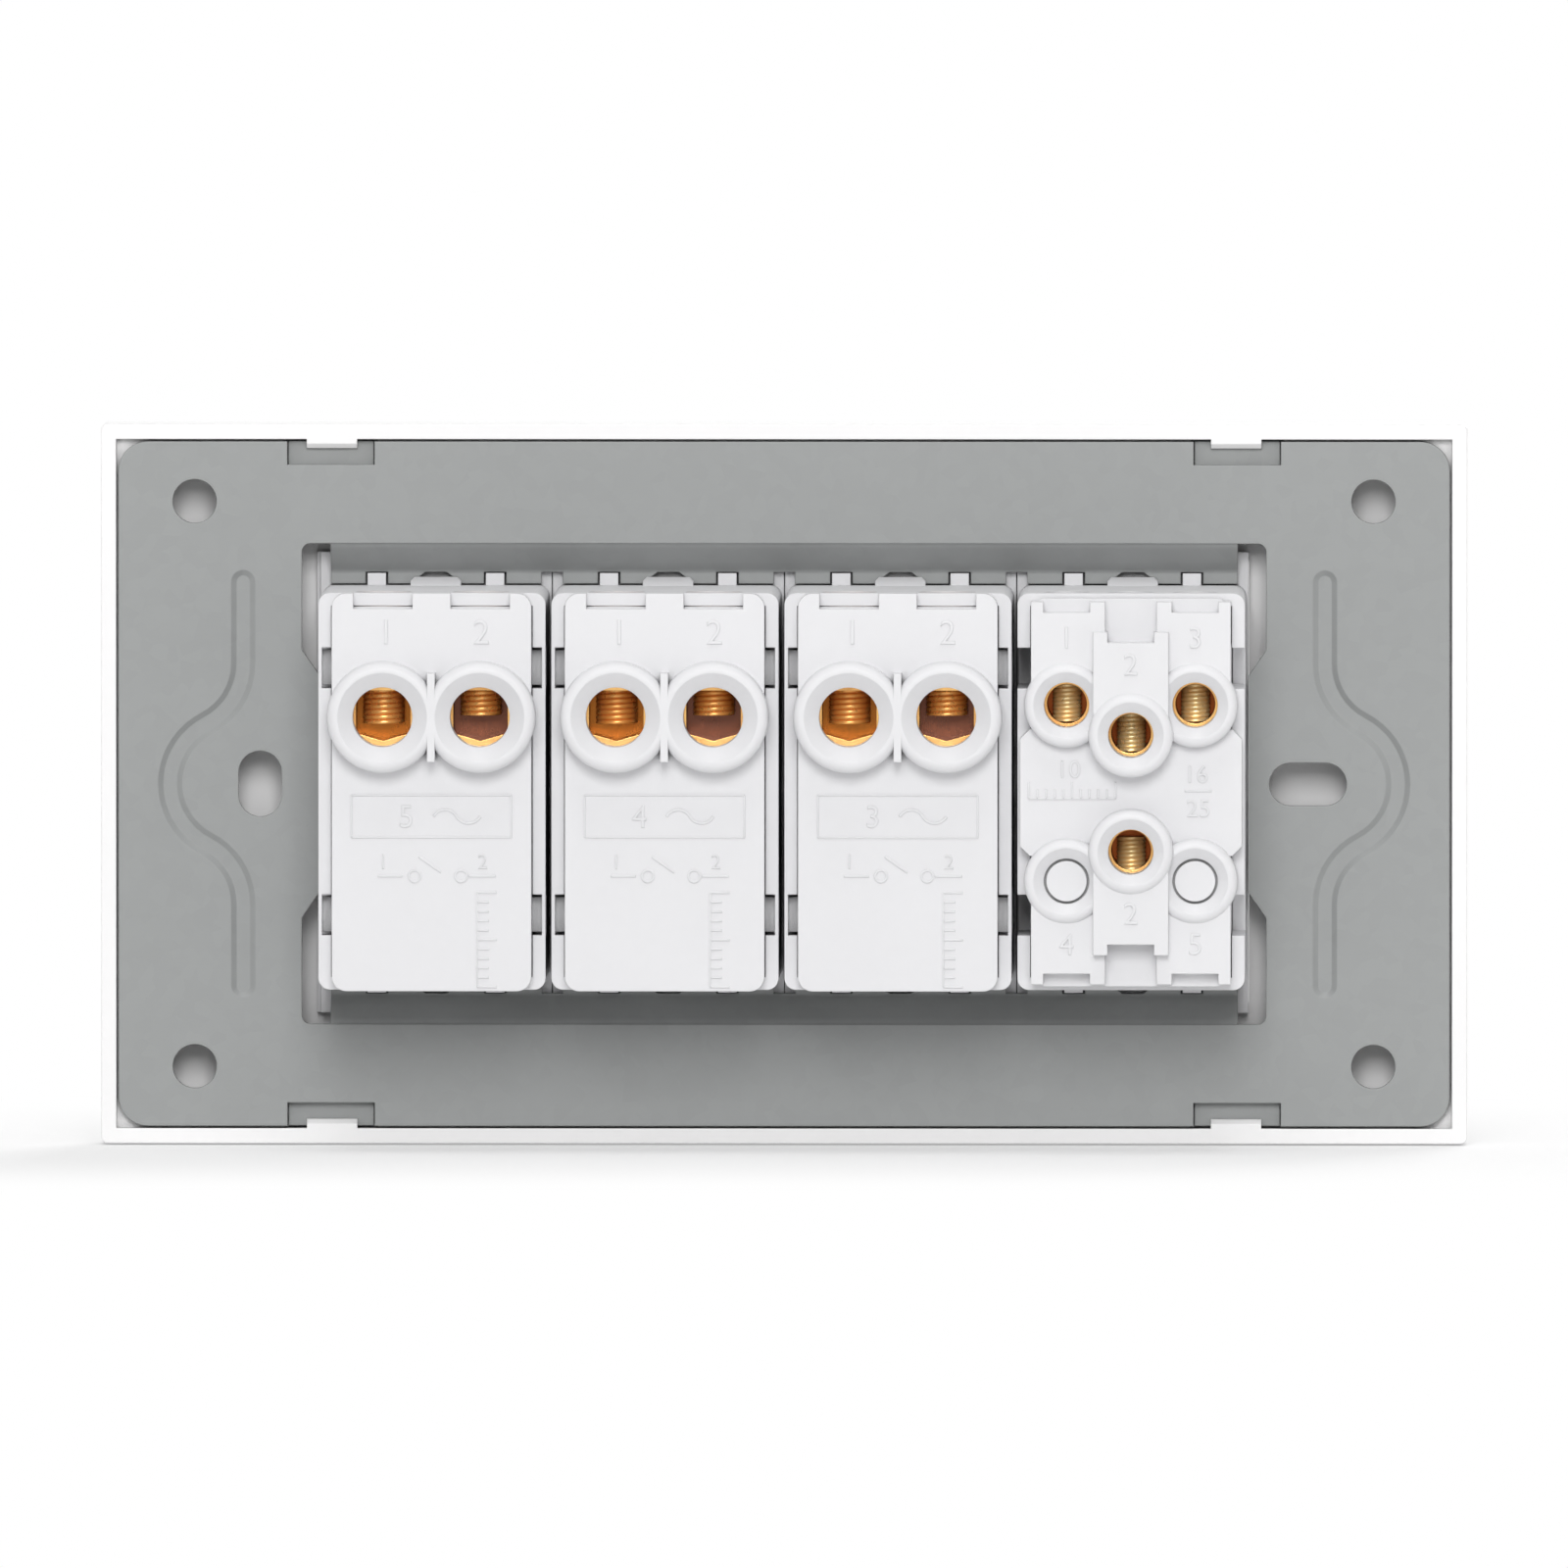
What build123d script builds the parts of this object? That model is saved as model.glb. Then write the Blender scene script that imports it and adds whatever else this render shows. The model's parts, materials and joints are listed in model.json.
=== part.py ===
from build123d import *
import os
from math import atan2, cos, degrees, hypot, radians, sin, tan

# Five-gang wall switch: a twin module and three single modules clipped into a pressed steel bracket,
# behind a plain front plate. X runs to the right seen from the front, the front faces -Y and Z is up.
# The wall plane is Y = 0, and the origin lies midway between the two fixing slots. Millimetres.

# Clearances
SEAT_GAP = 0.1
PIN_GAP = 0.05
THREAD_GAP = 0.03
MOVE_GAP = 0.3

# Front plate
PLATE_W = 140.8
PLATE_H = 74.2
PLATE_DEPTH = 8.0
PLATE_WALL = 1.8
PLATE_RIM = 1.55
PLATE_EDGE_R = 1.6
PLATE_CORNER_R = 0.7
PLATE_LEDGE = 2.2
HOOK_X = 46.6
HOOK_W = 5.2
HOOK_REACH = 0.95

# Steel bracket
SHEET = 1.2
BRACKET_GAP = 0.25
BRACKET_R = 3.0
LIP_DROP = 3.0
LIP_W = 1.3
FOLD_RUN = 2.95
FOLD_R = 1.3
LIP_END = 1.15
LIP_JOINT_W = 2.2
RELIEF_W = 1.8
RELIEF_TOP = 13.8
RELIEF_FOOT = 11.2
CORNER_HOLE_R = 2.27
CORNER_INSET_X = 7.85
CORNER_INSET_Z = 6.15
FIXING_X = 108.0
SLOT_W = 4.45
SLOT_TALL = 6.8
SLOT_LONG = 8.0
BEAD_OFFSET = 1.75
BEAD_END = 20.8
BEAD_BEND = 12.4
BEAD_W = 2.5
BEAD_DEPTH = 0.3
BEAD_SLOPE = 0.55
JOGGLE_X = 46.7
JOGGLE_W = 9.0
JOGGLE_REACH = 2.4

# Module frames
PITCH = 23.95
MODULE_W = 23.35
SLEEVE_H = 40.8
SLEEVE_REAR = 18.6
SLEEVE_SIDE = 1.325
SLEEVE_END = 1.3
SLEEVE_R = 1.2
SLEEVE_LEDGE = 1.3
LEDGE_REAR = 1.0
LIP_GAP = 0.15
FLANGE_W = 3.4
FLANGE_T = 1.6
FLANGE_LAP = 0.4
PEG_X = 6.1
PEG_W = 1.9
PEG_H = 1.25
LATCH_W = 5.2
LATCH_H = 0.85
LATCH_T = 1.2
LATCH_CORNER = 0.4
LATCH_HOLE_W = 2.2
SNAP_H = 4.2
SNAP_L = 3.0
SNAP_Z = 12.7
LEAD_T = 0.95
LEAD_L = 1.6
TWIN_SNAP_Z = 5.0
TWIN_RELIEF_L = 13.0
TWIN_WALL = 1.8

# Rockers
TILT = 4.5
PIVOT_Y = -3.0
ROCKER_FRONT = 9.8
ROCKER_CROWN = 0.4
ROCKER_H = 45.4
ROCKER_DRAFT = 0.5
ROCKER_WALL = 1.5
ROCKER_EDGE_R = 0.8
ROCKER_GAP = 0.65
TWIN_GAP = 0.2
LEG_T = 1.5
LEG_R = 2.3
PIN_R = 1.4
PIN_BITE = 0.9
TWIN_PIN_BITE = 0.7
STEM_R = 2.6
STEM_REAR = 3.4

# Sprung plungers
PLUNGER_R = 1.6
NOSE_R = 1.1
NOSE_REACH = 8.8
GUIDE_L = 4.0
WIRE = 0.45
TURNS = 4

# Contact levers
FULCRUM_Y = 8.0
LEVER_RATIO = 2
LEVER_W = 4.4
LEVER_T = 0.8
LEVER_OFFSET = 1.0
LEVER_UP = 8.6
LEVER_DOWN = 5.5
FULCRUM_R = 0.35
FULCRUM_GAP = 0.1
EAR_T = 0.7
TIP_Z = 6.8
TIP_R = 1.5
TIP_H = 0.8
RIVET_R = 0.7
CONTACT_GAP = 0.15

# Housings
HOUSING_W = 20.5
HOUSING_H = 40.9
HOUSING_WALL = 1.0
HOUSING_REAR = 21.0
HOUSING_R = 1.5
REAR_WALL = 1.8
RIB = 1.0
NOTCH_W = 6.1
NOTCH_H = 1.6

# Single-module terminals: a cage that a vertical screw closes on the wire
WIRE_X = 5.0
WIRE_Z = 7.8
WIRE_R = 3.075
COLLAR_R = 5.7
COLLAR_RIM = 1.1
COLLAR_H = 3.3
FUNNEL = 1.4
COLLAR_RIB_H = 9.1
COLLAR_RIB_W = 0.8
CAGE_FRONT = 12.6
CAGE_W = 7.4
CAGE_WALL = 0.9
CAGE_ROOF = 2.4
CAGE_WAY_H = 5.2
CAGE_CORNER = 1.0
CAGE_VEE = 0.8
STRIP_T = 0.9
STRIP_H = 2.8
SCREW_Y = 15.2
SCREW_R = 2.15
SCREW_HEAD_R = 2.8
SCREW_HEAD_H = 2.2
SCREW_HEAD_RISE = 2.0
SCREW_TIPS = (6.9, 7.75)
SCREW_SLOT = 0.8

# Twin-module terminals: bored blocks, each crossed by a screw
TWIN_X = 6.6
TWIN_SIDE_Z = 9.05
TWIN_MID_Z = 6.0
TWIN_R = 2.33
TWIN_COLLAR_R = 4.35
TWIN_RIM = 0.95
TWIN_FUNNEL = 0.9
TWIN_BASE = 20.4
TWIN_SIDE_REAR = 23.0
TWIN_TONGUE_REAR = 24.3
TWIN_RISE = 0.5
TWIN_MID_W = 22.8
TWIN_MID_H = 13.0
TWIN_MID_CHAMFER = 1.0
TWIN_TONGUE_W = 7.75
TWIN_TONGUE_TOP = 16.6
TWIN_NOTCH_W = 4.8
TWIN_NOTCH_H = 1.1
TWIN_CAP_H = 39.9
TWIN_CHANNEL_W = 5.3
TWIN_BLANK_GROOVE = 0.25
TWIN_BLANK_DEPTH = 0.6
BLOCK_W = 5.0
BLOCK_BELOW = 2.9
BLOCK_ABOVE = 3.6
BLOCK_BORE_R = 2.05
TWIN_FOOT_GAP = 1.2
TWIN_SCREW_R = 1.5
TWIN_HEAD_R = 2.2
TWIN_HEAD_H = 1.8
TWIN_HEAD_RISE = 1.0
TWIN_TIP = 1.9
TWIN_LOW_TIP = 1.25

# Worked-out places
BRACKET_W = PLATE_W - 2 * (PLATE_RIM + BRACKET_GAP)
BRACKET_H = PLATE_H - 2 * (PLATE_RIM + BRACKET_GAP)
LIP_Z = SLEEVE_H / 2 + LIP_GAP
FOLD_IN = LIP_Z + LIP_W
FOLD_OUT = FOLD_IN + FOLD_RUN
LIP_FRONT = -LIP_DROP - SHEET
FLANGE_H = SLEEVE_H + 2 * FLANGE_W
CORNER_X = BRACKET_W / 2 - CORNER_INSET_X
CORNER_Z = BRACKET_H / 2 - CORNER_INSET_Z
BEAD_X = FIXING_X / 2 + BEAD_OFFSET
BEAD_BULGE = (BRACKET_W / 2 + (FIXING_X + SLOT_LONG) / 2) / 2 - BEAD_X
FLANGE_FRONT = LIP_FRONT - FLANGE_T
MODULES = [PITCH * (i - 1.5) for i in range(4)]
SLEEVE_IN_X = MODULE_W / 2 - SLEEVE_SIDE
SLEEVE_IN_Z = SLEEVE_H / 2 - SLEEVE_END
SNAP_Y = (SLEEVE_REAR - LEAD_L - SNAP_L, SLEEVE_REAR - LEAD_L)
BODY_Z = SLEEVE_IN_Z - SEAT_GAP
CAP_FRONT = SLEEVE_REAR + SEAT_GAP
HOUSING_FRONT = LEDGE_REAR + SEAT_GAP
CAVITY_X = HOUSING_W / 2 - HOUSING_WALL
CAVITY_Z = BODY_Z - HOUSING_WALL
CAVITY_REAR = HOUSING_REAR - REAR_WALL
TWIN_CAVITY_REAR = TWIN_BASE - REAR_WALL
RIB_FRONT = CAGE_FRONT + STRIP_T + SEAT_GAP
LEVER_TILT = TILT * LEVER_RATIO
LEVER_Y = (FULCRUM_Y - LEVER_OFFSET, FULCRUM_Y - LEVER_OFFSET + LEVER_T)
EAR_X = LEVER_W / 2 + MOVE_GAP
TIP_REAR = LEVER_T - LEVER_OFFSET + TIP_H
SHUT = TIP_REAR * cos(radians(LEVER_TILT)) + (TIP_Z + TIP_R) * sin(radians(LEVER_TILT))
TAB_Y = (FULCRUM_Y + SHUT + CONTACT_GAP + TIP_H, FULCRUM_Y + SHUT + CONTACT_GAP + TIP_H + LEVER_T)
TAB_Z = TIP_Z * cos(radians(LEVER_TILT))
TAB_HALF = TIP_R + MOVE_GAP
CAGE_FLOOR = WIRE_Z - CAGE_WAY_H / 2
CAGE_TOP = CAGE_FLOOR + CAGE_WAY_H
ROCKER_INSIDE = -ROCKER_FRONT + ROCKER_WALL
STEM_FLOOR = ROCKER_INSIDE + SEAT_GAP
GUIDE_FRONT = STEM_REAR - MOVE_GAP - GUIDE_L
ROCKER_SEAT = FLANGE_FRONT - MOVE_GAP
ROCKER_END = ROCKER_SEAT - ROCKER_H / 2 * tan(radians(TILT))
ROCKER_W = PITCH - ROCKER_GAP
TWIN_ROCKER_W = (ROCKER_W - TWIN_GAP) / 2
GANG_X = (TWIN_ROCKER_W + TWIN_GAP) / 2
SWING = (PIVOT_Y - ROCKER_END) * sin(radians(TILT)) + ROCKER_H / 2 * cos(radians(TILT))
WINDOW_W = 4 * PITCH - ROCKER_GAP + 2 * MOVE_GAP
WINDOW_H = 2 * (SWING + MOVE_GAP)


def block(x, y, z):
    """Box between (low, high) pairs along each axis."""
    size = [high - low for low, high in (x, y, z)]
    middle = [(high + low) / 2 for low, high in (x, y, z)]
    return Pos(*middle) * Box(*size)


def rod_x(y, z, r, x):
    return Pos((x[0] + x[1]) / 2, y, z) * Rot(0, 90, 0) * Cylinder(r, x[1] - x[0])


def rod_y(x, z, r, y):
    return Pos(x, (y[0] + y[1]) / 2, z) * Rot(-90, 0, 0) * Cylinder(r, y[1] - y[0])


def rod_z(x, y, r, z):
    return Pos(x, y, (z[0] + z[1]) / 2) * Cylinder(r, z[1] - z[0])


def around(middle, half):
    return (middle - half, middle + half)


def outline(*points):
    return make_face(Polyline(*points, close=True).edges())


def slab(face, y):
    """A face drawn in X and Z, made solid between two depths."""
    return extrude(Plane.XZ.offset(-y[0]) * face, amount=y[0] - y[1])


def bar(face, x):
    """A face drawn in Y and Z, made solid between two places along X."""
    return extrude(Plane.YZ.offset(x[0]) * face, amount=x[1] - x[0])


def both_ends(solid):
    """A solid at the top, and its mirror image at the bottom."""
    return [solid, mirror(solid, about=Plane.XY)]


def both_sides(solid):
    """A solid at the right, and its mirror image at the left."""
    return [solid, mirror(solid, about=Plane.YZ)]


def four_ways(solid):
    return [copy for half in both_sides(solid) for copy in both_ends(half)]


def tilted(solid, y, angle):
    """Turn a solid about the X axis through depth y."""
    return Pos(0, y, 0) * Rot(angle, 0, 0) * Pos(0, -y, 0) * solid


def front_plate():
    half_w, half_h = PLATE_W / 2, PLATE_H / 2
    nest_w, nest_h = half_w - PLATE_RIM, half_h - PLATE_RIM
    hollow_w, hollow_h = nest_w - PLATE_LEDGE, nest_h - PLATE_LEDGE
    plate = block((-half_w, half_w), (-PLATE_DEPTH, 0), (-half_h, half_h))
    plate = fillet(plate.edges().filter_by(Axis.Y), PLATE_CORNER_R)
    plate = fillet(plate.faces().sort_by(Axis.Y)[0].edges(), PLATE_EDGE_R)
    plate -= block((-nest_w, nest_w), (-SHEET, 0), (-nest_h, nest_h))
    plate -= block((-hollow_w, hollow_w), (PLATE_WALL - PLATE_DEPTH, 0), (-hollow_h, hollow_h))
    plate -= slab(RectangleRounded(WINDOW_W, WINDOW_H, PLATE_CORNER_R), (-PLATE_DEPTH, 0))
    tab_room = block(
        around(JOGGLE_X, JOGGLE_W / 2 + MOVE_GAP),
        (-2 * SHEET - SEAT_GAP, 0),
        (hollow_h - PLATE_LEDGE, nest_h),
    )
    plate -= four_ways(tab_room)
    hook = outline(
        (SEAT_GAP - SHEET, nest_h + SEAT_GAP),
        (SEAT_GAP - SHEET, nest_h - HOOK_REACH),
        (-SHEET / 2, nest_h - HOOK_REACH),
        (0, nest_h - HOOK_REACH / 2),
        (0, nest_h + SEAT_GAP),
    )
    return plate + four_ways(bar(hook, around(HOOK_X, HOOK_W / 2)))


def bead_route():
    """Centre line of the bead at the right of the bracket, bowed out round the fixing slot."""
    turn = 2 * degrees(atan2(BEAD_BULGE, BEAD_BEND))
    radius = BEAD_BEND / (2 * sin(radians(turn)))
    edges = [Line((BEAD_X, BEAD_END), (BEAD_X, BEAD_BEND))]
    for side in (1, -1, -1, 1):
        edges.append(JernArc(edges[-1] @ 1, edges[-1] % 1, radius, side * turn))
    edges.append(Line(edges[-1] @ 1, (BEAD_X, -BEAD_END)))
    return Plane.XZ * Wire([edge.edge() for edge in edges])


def bead_tool(width, top, shoulder):
    """Flat channel with sloped walls and round ends along the bead, from top down past its shoulder."""
    route = bead_route()
    half = [
        (0, -top),
        (width / 2, -top),
        (width / 2, -shoulder),
        (width / 2 - BEAD_SLOPE, BEAD_DEPTH - shoulder),
        (0, BEAD_DEPTH - shoulder),
    ]
    start = Plane(origin=route @ 0, x_dir=(1, 0, 0), z_dir=route % 0)
    section = outline(*half, *[(-across, down) for across, down in half[-2:0:-1]])
    channel = sweep(start * section, path=route)
    ends = [
        revolve(
            Plane(origin=route @ end, x_dir=(1, 0, 0), z_dir=(0, 0, -1)) * outline(*half),
            Axis(route @ end, (0, 1, 0)),
        )
        for end in (0, 1)
    ]
    return channel + ends


def lip_notches():
    """Cut-outs of the top lip: one for each peg and latch, and one where two modules meet."""
    deep = (LIP_FRONT - SHEET, SHEET - LIP_DROP)
    root = FOLD_IN - SEAT_GAP
    cuts = [block(around(i * PITCH, LIP_JOINT_W / 2), deep, (0, root)) for i in (-1, 0, 1)]
    for middle in MODULES:
        for side in (-1, 1):
            peg = around(middle + side * PEG_X, PEG_W / 2 + 2 * SEAT_GAP)
            cuts.append(block(peg, deep, (0, root)))
        latch = outline(
            (middle - LATCH_W / 2, 0),
            (middle - LATCH_W / 2, LIP_Z),
            (middle - LATCH_HOLE_W / 2, root),
            (middle + LATCH_HOLE_W / 2, root),
            (middle + LATCH_W / 2, LIP_Z),
            (middle + LATCH_W / 2, 0),
        )
        cuts.append(slab(latch, deep))
    return cuts


def bracket():
    window_x = 2 * PITCH
    relief = outline(
        (window_x - RELIEF_W, FOLD_OUT),
        (window_x + RELIEF_W, FOLD_OUT),
        (window_x + RELIEF_W, RELIEF_TOP),
        (window_x, RELIEF_FOOT),
        (window_x - RELIEF_W, RELIEF_FOOT),
    )
    relief = fillet(relief.vertices().sort_by(lambda v: v.X + v.Y)[-1], RELIEF_W / 2)
    sheet = slab(RectangleRounded(BRACKET_W, BRACKET_H, BRACKET_R), (-SHEET, 0))
    sheet -= block((-window_x, window_x), (-SHEET, 0), (-FOLD_OUT, FOLD_OUT))
    sheet -= four_ways(slab(relief, (-SHEET, 0)))

    slope = (FOLD_OUT - FOLD_IN) / LIP_DROP
    shift = SHEET / 2 * (hypot(1, slope) - slope)
    section = FilletPolyline(
        (-SHEET / 2, FOLD_OUT + 2 * SHEET),
        (-SHEET / 2, FOLD_OUT + shift),
        (-SHEET / 2 - LIP_DROP, FOLD_IN + shift),
        (-SHEET / 2 - LIP_DROP, LIP_Z),
        radius=FOLD_R,
    )
    flange = bar(trace(section, SHEET), (LIP_END - window_x, window_x - LIP_END))
    sheet += both_ends(flange - lip_notches())

    tab_edge = BRACKET_H / 2 - JOGGLE_REACH
    joggle = around(JOGGLE_X, JOGGLE_W / 2)
    sheet -= four_ways(block(joggle, (-SHEET, 0), (tab_edge, BRACKET_H)))
    tab = around(JOGGLE_X, JOGGLE_W / 2 - SEAT_GAP)
    sheet += four_ways(block(tab, (-2 * SHEET, -SHEET), (tab_edge - SHEET, BRACKET_H / 2)))

    sheet += both_sides(bead_tool(BEAD_W + SHEET, -SHEET / 2, -SHEET))
    sheet -= both_sides(bead_tool(BEAD_W, SHEET, 0))

    through = (-2 * SHEET, SHEET)
    sheet -= four_ways(rod_y(CORNER_X, CORNER_Z, CORNER_HOLE_R, through))
    upright = Pos(FIXING_X / 2, 0) * SlotOverall(SLOT_TALL, SLOT_W, rotation=90)
    level = Pos(-FIXING_X / 2, 0) * SlotOverall(SLOT_LONG, SLOT_W)
    return sheet - [slab(slot, through) for slot in (upright, level)]


def lapped_flange():
    """Flange of a frame. Its front half is set over, so that it covers the seam with the next frame."""
    half_w, half_h = (PITCH - SEAT_GAP) / 2, FLANGE_H / 2
    seam = (FLANGE_FRONT + LIP_FRONT) / 2
    rear = block((-half_w, half_w), (seam, LIP_FRONT), (-half_h, half_h))
    front = block((FLANGE_LAP - half_w, FLANGE_LAP + half_w), (FLANGE_FRONT, seam), (-half_h, half_h))
    under = block((half_w, FLANGE_LAP + half_w), (seam - SEAT_GAP, seam), (-half_h, half_h))
    return rear + front - under


def module_frame(snap_z):
    """Front frame of a module: flange on the lip, sleeve through the window, pegs, latches and pivots."""
    half_w, half_h = MODULE_W / 2, SLEEVE_H / 2
    ledge_z = SLEEVE_IN_Z - SLEEVE_LEDGE
    frame = lapped_flange()
    sleeve = block((-half_w, half_w), (LIP_FRONT, SLEEVE_REAR), (-half_h, half_h))
    frame += fillet(sleeve.edges().filter_by(Axis.Y), SLEEVE_R)
    inside = (-SLEEVE_IN_X, SLEEVE_IN_X)
    frame -= block(inside, (FLANGE_FRONT, SLEEVE_REAR), (-ledge_z, ledge_z))
    frame -= block(inside, (LEDGE_REAR, SLEEVE_REAR), (-SLEEVE_IN_Z, SLEEVE_IN_Z))

    root = half_h - SLEEVE_END / 2
    peg = block(around(PEG_X, PEG_W / 2), (LIP_FRONT, SHEET / 2 - LIP_DROP), (root, half_h + PEG_H))
    frame += four_ways(peg)
    nose = SEAT_GAP - LIP_DROP
    latch = outline(
        (nose, root),
        (nose, half_h + LATCH_H),
        (nose + LATCH_T / 2, half_h + LATCH_H),
        (nose + 2 * LATCH_T, half_h),
        (nose + 2 * LATCH_T, root),
    )
    top = half_h + LATCH_H
    face = outline(
        (-LATCH_W / 2, root),
        (-LATCH_W / 2, top - LATCH_CORNER),
        (LATCH_CORNER - LATCH_W / 2, top),
        (LATCH_W / 2 - LATCH_CORNER, top),
        (LATCH_W / 2, top - LATCH_CORNER),
        (LATCH_W / 2, root),
    )
    hook = bar(latch, around(0, LATCH_W / 2)) & slab(face, (nose, nose + 2 * LATCH_T))
    frame += both_ends(hook)

    frame -= rod_x(PIVOT_Y, 0, PIN_R + PIN_GAP, (-half_w, half_w))
    return frame - four_ways(block((SLEEVE_IN_X, half_w), SNAP_Y, around(snap_z, SNAP_H / 2)))


def single_frame():
    """Frame of a single module, with lead-in grooves for the housing's snaps and holes over the screws."""
    groove = block(
        (SLEEVE_IN_X, SLEEVE_IN_X + LEAD_T), (SNAP_Y[1], SLEEVE_REAR), around(SNAP_Z, SNAP_H / 2)
    )
    hole = rod_z(WIRE_X, SCREW_Y, SCREW_HEAD_R + SEAT_GAP, (BODY_Z, SLEEVE_H / 2))
    return module_frame(SNAP_Z) - four_ways(groove) - both_sides(hole)


def twin_frame():
    """Frame of the twin module, with a middle wall for the inner pins of two half-width rockers."""
    relief = block(
        (SLEEVE_IN_X, MODULE_W / 2), (SLEEVE_REAR - TWIN_RELIEF_L, SLEEVE_REAR), around(SNAP_Z, SNAP_H / 2)
    )
    frame = module_frame(TWIN_SNAP_Z) - four_ways(relief)
    r = TWIN_HEAD_R + SEAT_GAP
    frame -= both_sides(rod_z(TWIN_X, SCREW_Y, r, (BODY_Z, SLEEVE_H / 2)))
    frame -= both_ends(rod_z(0, SCREW_Y, r, (BODY_Z, SLEEVE_H / 2)))
    reach = SLEEVE_IN_Z - SLEEVE_LEDGE / 2
    wall = block(around(0, TWIN_WALL / 2), (FLANGE_FRONT, LEDGE_REAR), (-reach, reach))
    return frame + (wall - rod_x(PIVOT_Y, 0, PIN_R + PIN_GAP, around(0, TWIN_WALL)))


def rocker(width, legs):
    """Rocker drawn level and then turned onto its stop. legs lists each leg's x and its pin's x."""
    end_z = ROCKER_H / 2
    front_z = end_z - ROCKER_DRAFT
    face = ThreePointArc(
        (-ROCKER_FRONT, front_z), (-ROCKER_FRONT - ROCKER_CROWN, 0), (-ROCKER_FRONT, -front_z)
    )
    back = Polyline(
        (-ROCKER_FRONT, -front_z),
        (ROCKER_END, -end_z),
        (ROCKER_SEAT, 0),
        (ROCKER_END, end_z),
        (-ROCKER_FRONT, front_z),
    )
    shell = bar(make_face([face.edge(), *back.edges()]), around(0, width / 2))
    shell = fillet(shell.faces().sort_by(Axis.Y)[0].edges(), ROCKER_EDGE_R)
    reach = front_z - ROCKER_WALL
    shell -= block(around(0, width / 2 - ROCKER_WALL), (ROCKER_INSIDE, 0), (-reach, reach))

    root = ROCKER_INSIDE - SEAT_GAP
    leg = Pos(PIVOT_Y, 0) * Circle(LEG_R)
    leg += outline((PIVOT_Y, -LEG_R), (PIVOT_Y, LEG_R), (root, LEG_R), (root, -LEG_R))
    for leg_x, pin_x in legs:
        shell += [bar(leg, leg_x), rod_x(PIVOT_Y, 0, PIN_R, pin_x)]
    shell += rod_y(0, 0, STEM_R, (root, STEM_REAR))
    shell -= rod_y(0, 0, PLUNGER_R + SEAT_GAP, (STEM_FLOOR, STEM_REAR))
    return tilted(shell, PIVOT_Y, -TILT)


def single_rocker():
    outer = SLEEVE_IN_X - MOVE_GAP
    leg, pin = (outer - LEG_T, outer), (outer - LEG_T, SLEEVE_IN_X + PIN_BITE)
    return rocker(ROCKER_W, [(leg, pin), (around(-outer + LEG_T / 2, LEG_T / 2), (-pin[1], -pin[0]))])


def twin_rocker():
    """Half-width rocker at the right of the twin module, drawn about its own stem."""
    outer = SLEEVE_IN_X - MOVE_GAP - GANG_X
    inner = TWIN_WALL / 2 + MOVE_GAP - GANG_X
    outer_pin = (outer - LEG_T, SLEEVE_IN_X - GANG_X + PIN_BITE)
    inner_pin = (TWIN_WALL / 2 - GANG_X - TWIN_PIN_BITE, inner + LEG_T)
    return rocker(
        TWIN_ROCKER_W, [((outer - LEG_T, outer), outer_pin), ((inner, inner + LEG_T), inner_pin)]
    )


def plunger():
    nose = PIVOT_Y + NOSE_REACH
    guide = rod_y(0, 0, PLUNGER_R, (GUIDE_FRONT, GUIDE_FRONT + GUIDE_L))
    neck = rod_y(0, 0, NOSE_R, (GUIDE_FRONT, nose))
    return tilted(guide + neck + Pos(0, nose, 0) * Sphere(NOSE_R), PIVOT_Y, -TILT)


def plunger_spring():
    """Coil between the floor of the rocker's stem and the plunger."""
    length = GUIDE_FRONT - STEM_FLOOR - WIRE - 2 * SEAT_GAP
    coil = Helix(length / TURNS, length, PLUNGER_R - WIRE)
    wire = sweep(
        Plane(origin=coil @ 0, z_dir=coil % 0) * Rectangle(WIRE, WIRE), path=coil, is_frenet=True
    )
    seated = Pos(0, STEM_FLOOR + SEAT_GAP + WIRE / 2, 0) * Rot(-90, 0, 0) * wire
    return tilted(seated, PIVOT_Y, -TILT)


def contact_lever():
    """Bar that rocks on the fulcrum in its groove, with a riveted contact on its upper arm."""
    lever = block(around(0, LEVER_W / 2), LEVER_Y, (-LEVER_DOWN, LEVER_UP))
    lever -= rod_x(FULCRUM_Y, 0, FULCRUM_R + FULCRUM_GAP, (-LEVER_W, LEVER_W))
    lever -= rod_y(0, TIP_Z, RIVET_R + THREAD_GAP, LEVER_Y)
    return tilted(lever, FULCRUM_Y, LEVER_TILT)


def contact_rivet():
    """Silver contact: a rounded button towards +Y on a plain shank."""
    button = rod_y(0, 0, TIP_R, (0, TIP_H))
    button = fillet(button.edges().sort_by(Axis.Y)[-1], TIP_H / 2)
    return button + rod_y(0, 0, RIVET_R, (-LEVER_T, SEAT_GAP))


def moving_contact():
    return tilted(Pos(0, LEVER_Y[1], TIP_Z) * contact_rivet(), FULCRUM_Y, LEVER_TILT)


def fixed_contact():
    return Pos(0, TAB_Y[0], TAB_Z) * Rot(180, 0, 0) * contact_rivet()


def fulcrum():
    """Rounded edge under the lever, between two ears that keep the lever in line."""
    reach = around(0, EAR_X + EAR_T)
    edge = block(reach, (FULCRUM_Y, CAGE_FRONT + SEAT_GAP), around(0, FULCRUM_R))
    edge += rod_x(FULCRUM_Y, 0, FULCRUM_R, reach)
    ear_y = (FULCRUM_Y - 2 * LEVER_OFFSET, CAGE_FRONT + SEAT_GAP)
    return edge + both_sides(block((EAR_X, EAR_X + EAR_T), ear_y, around(0, STRIP_H / 2)))


def contact_tab(x):
    """Plate that the fixed contact is riveted to, x being its (low, high) reach."""
    return block(x, TAB_Y, around(TAB_Z, TAB_HALF))


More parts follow.
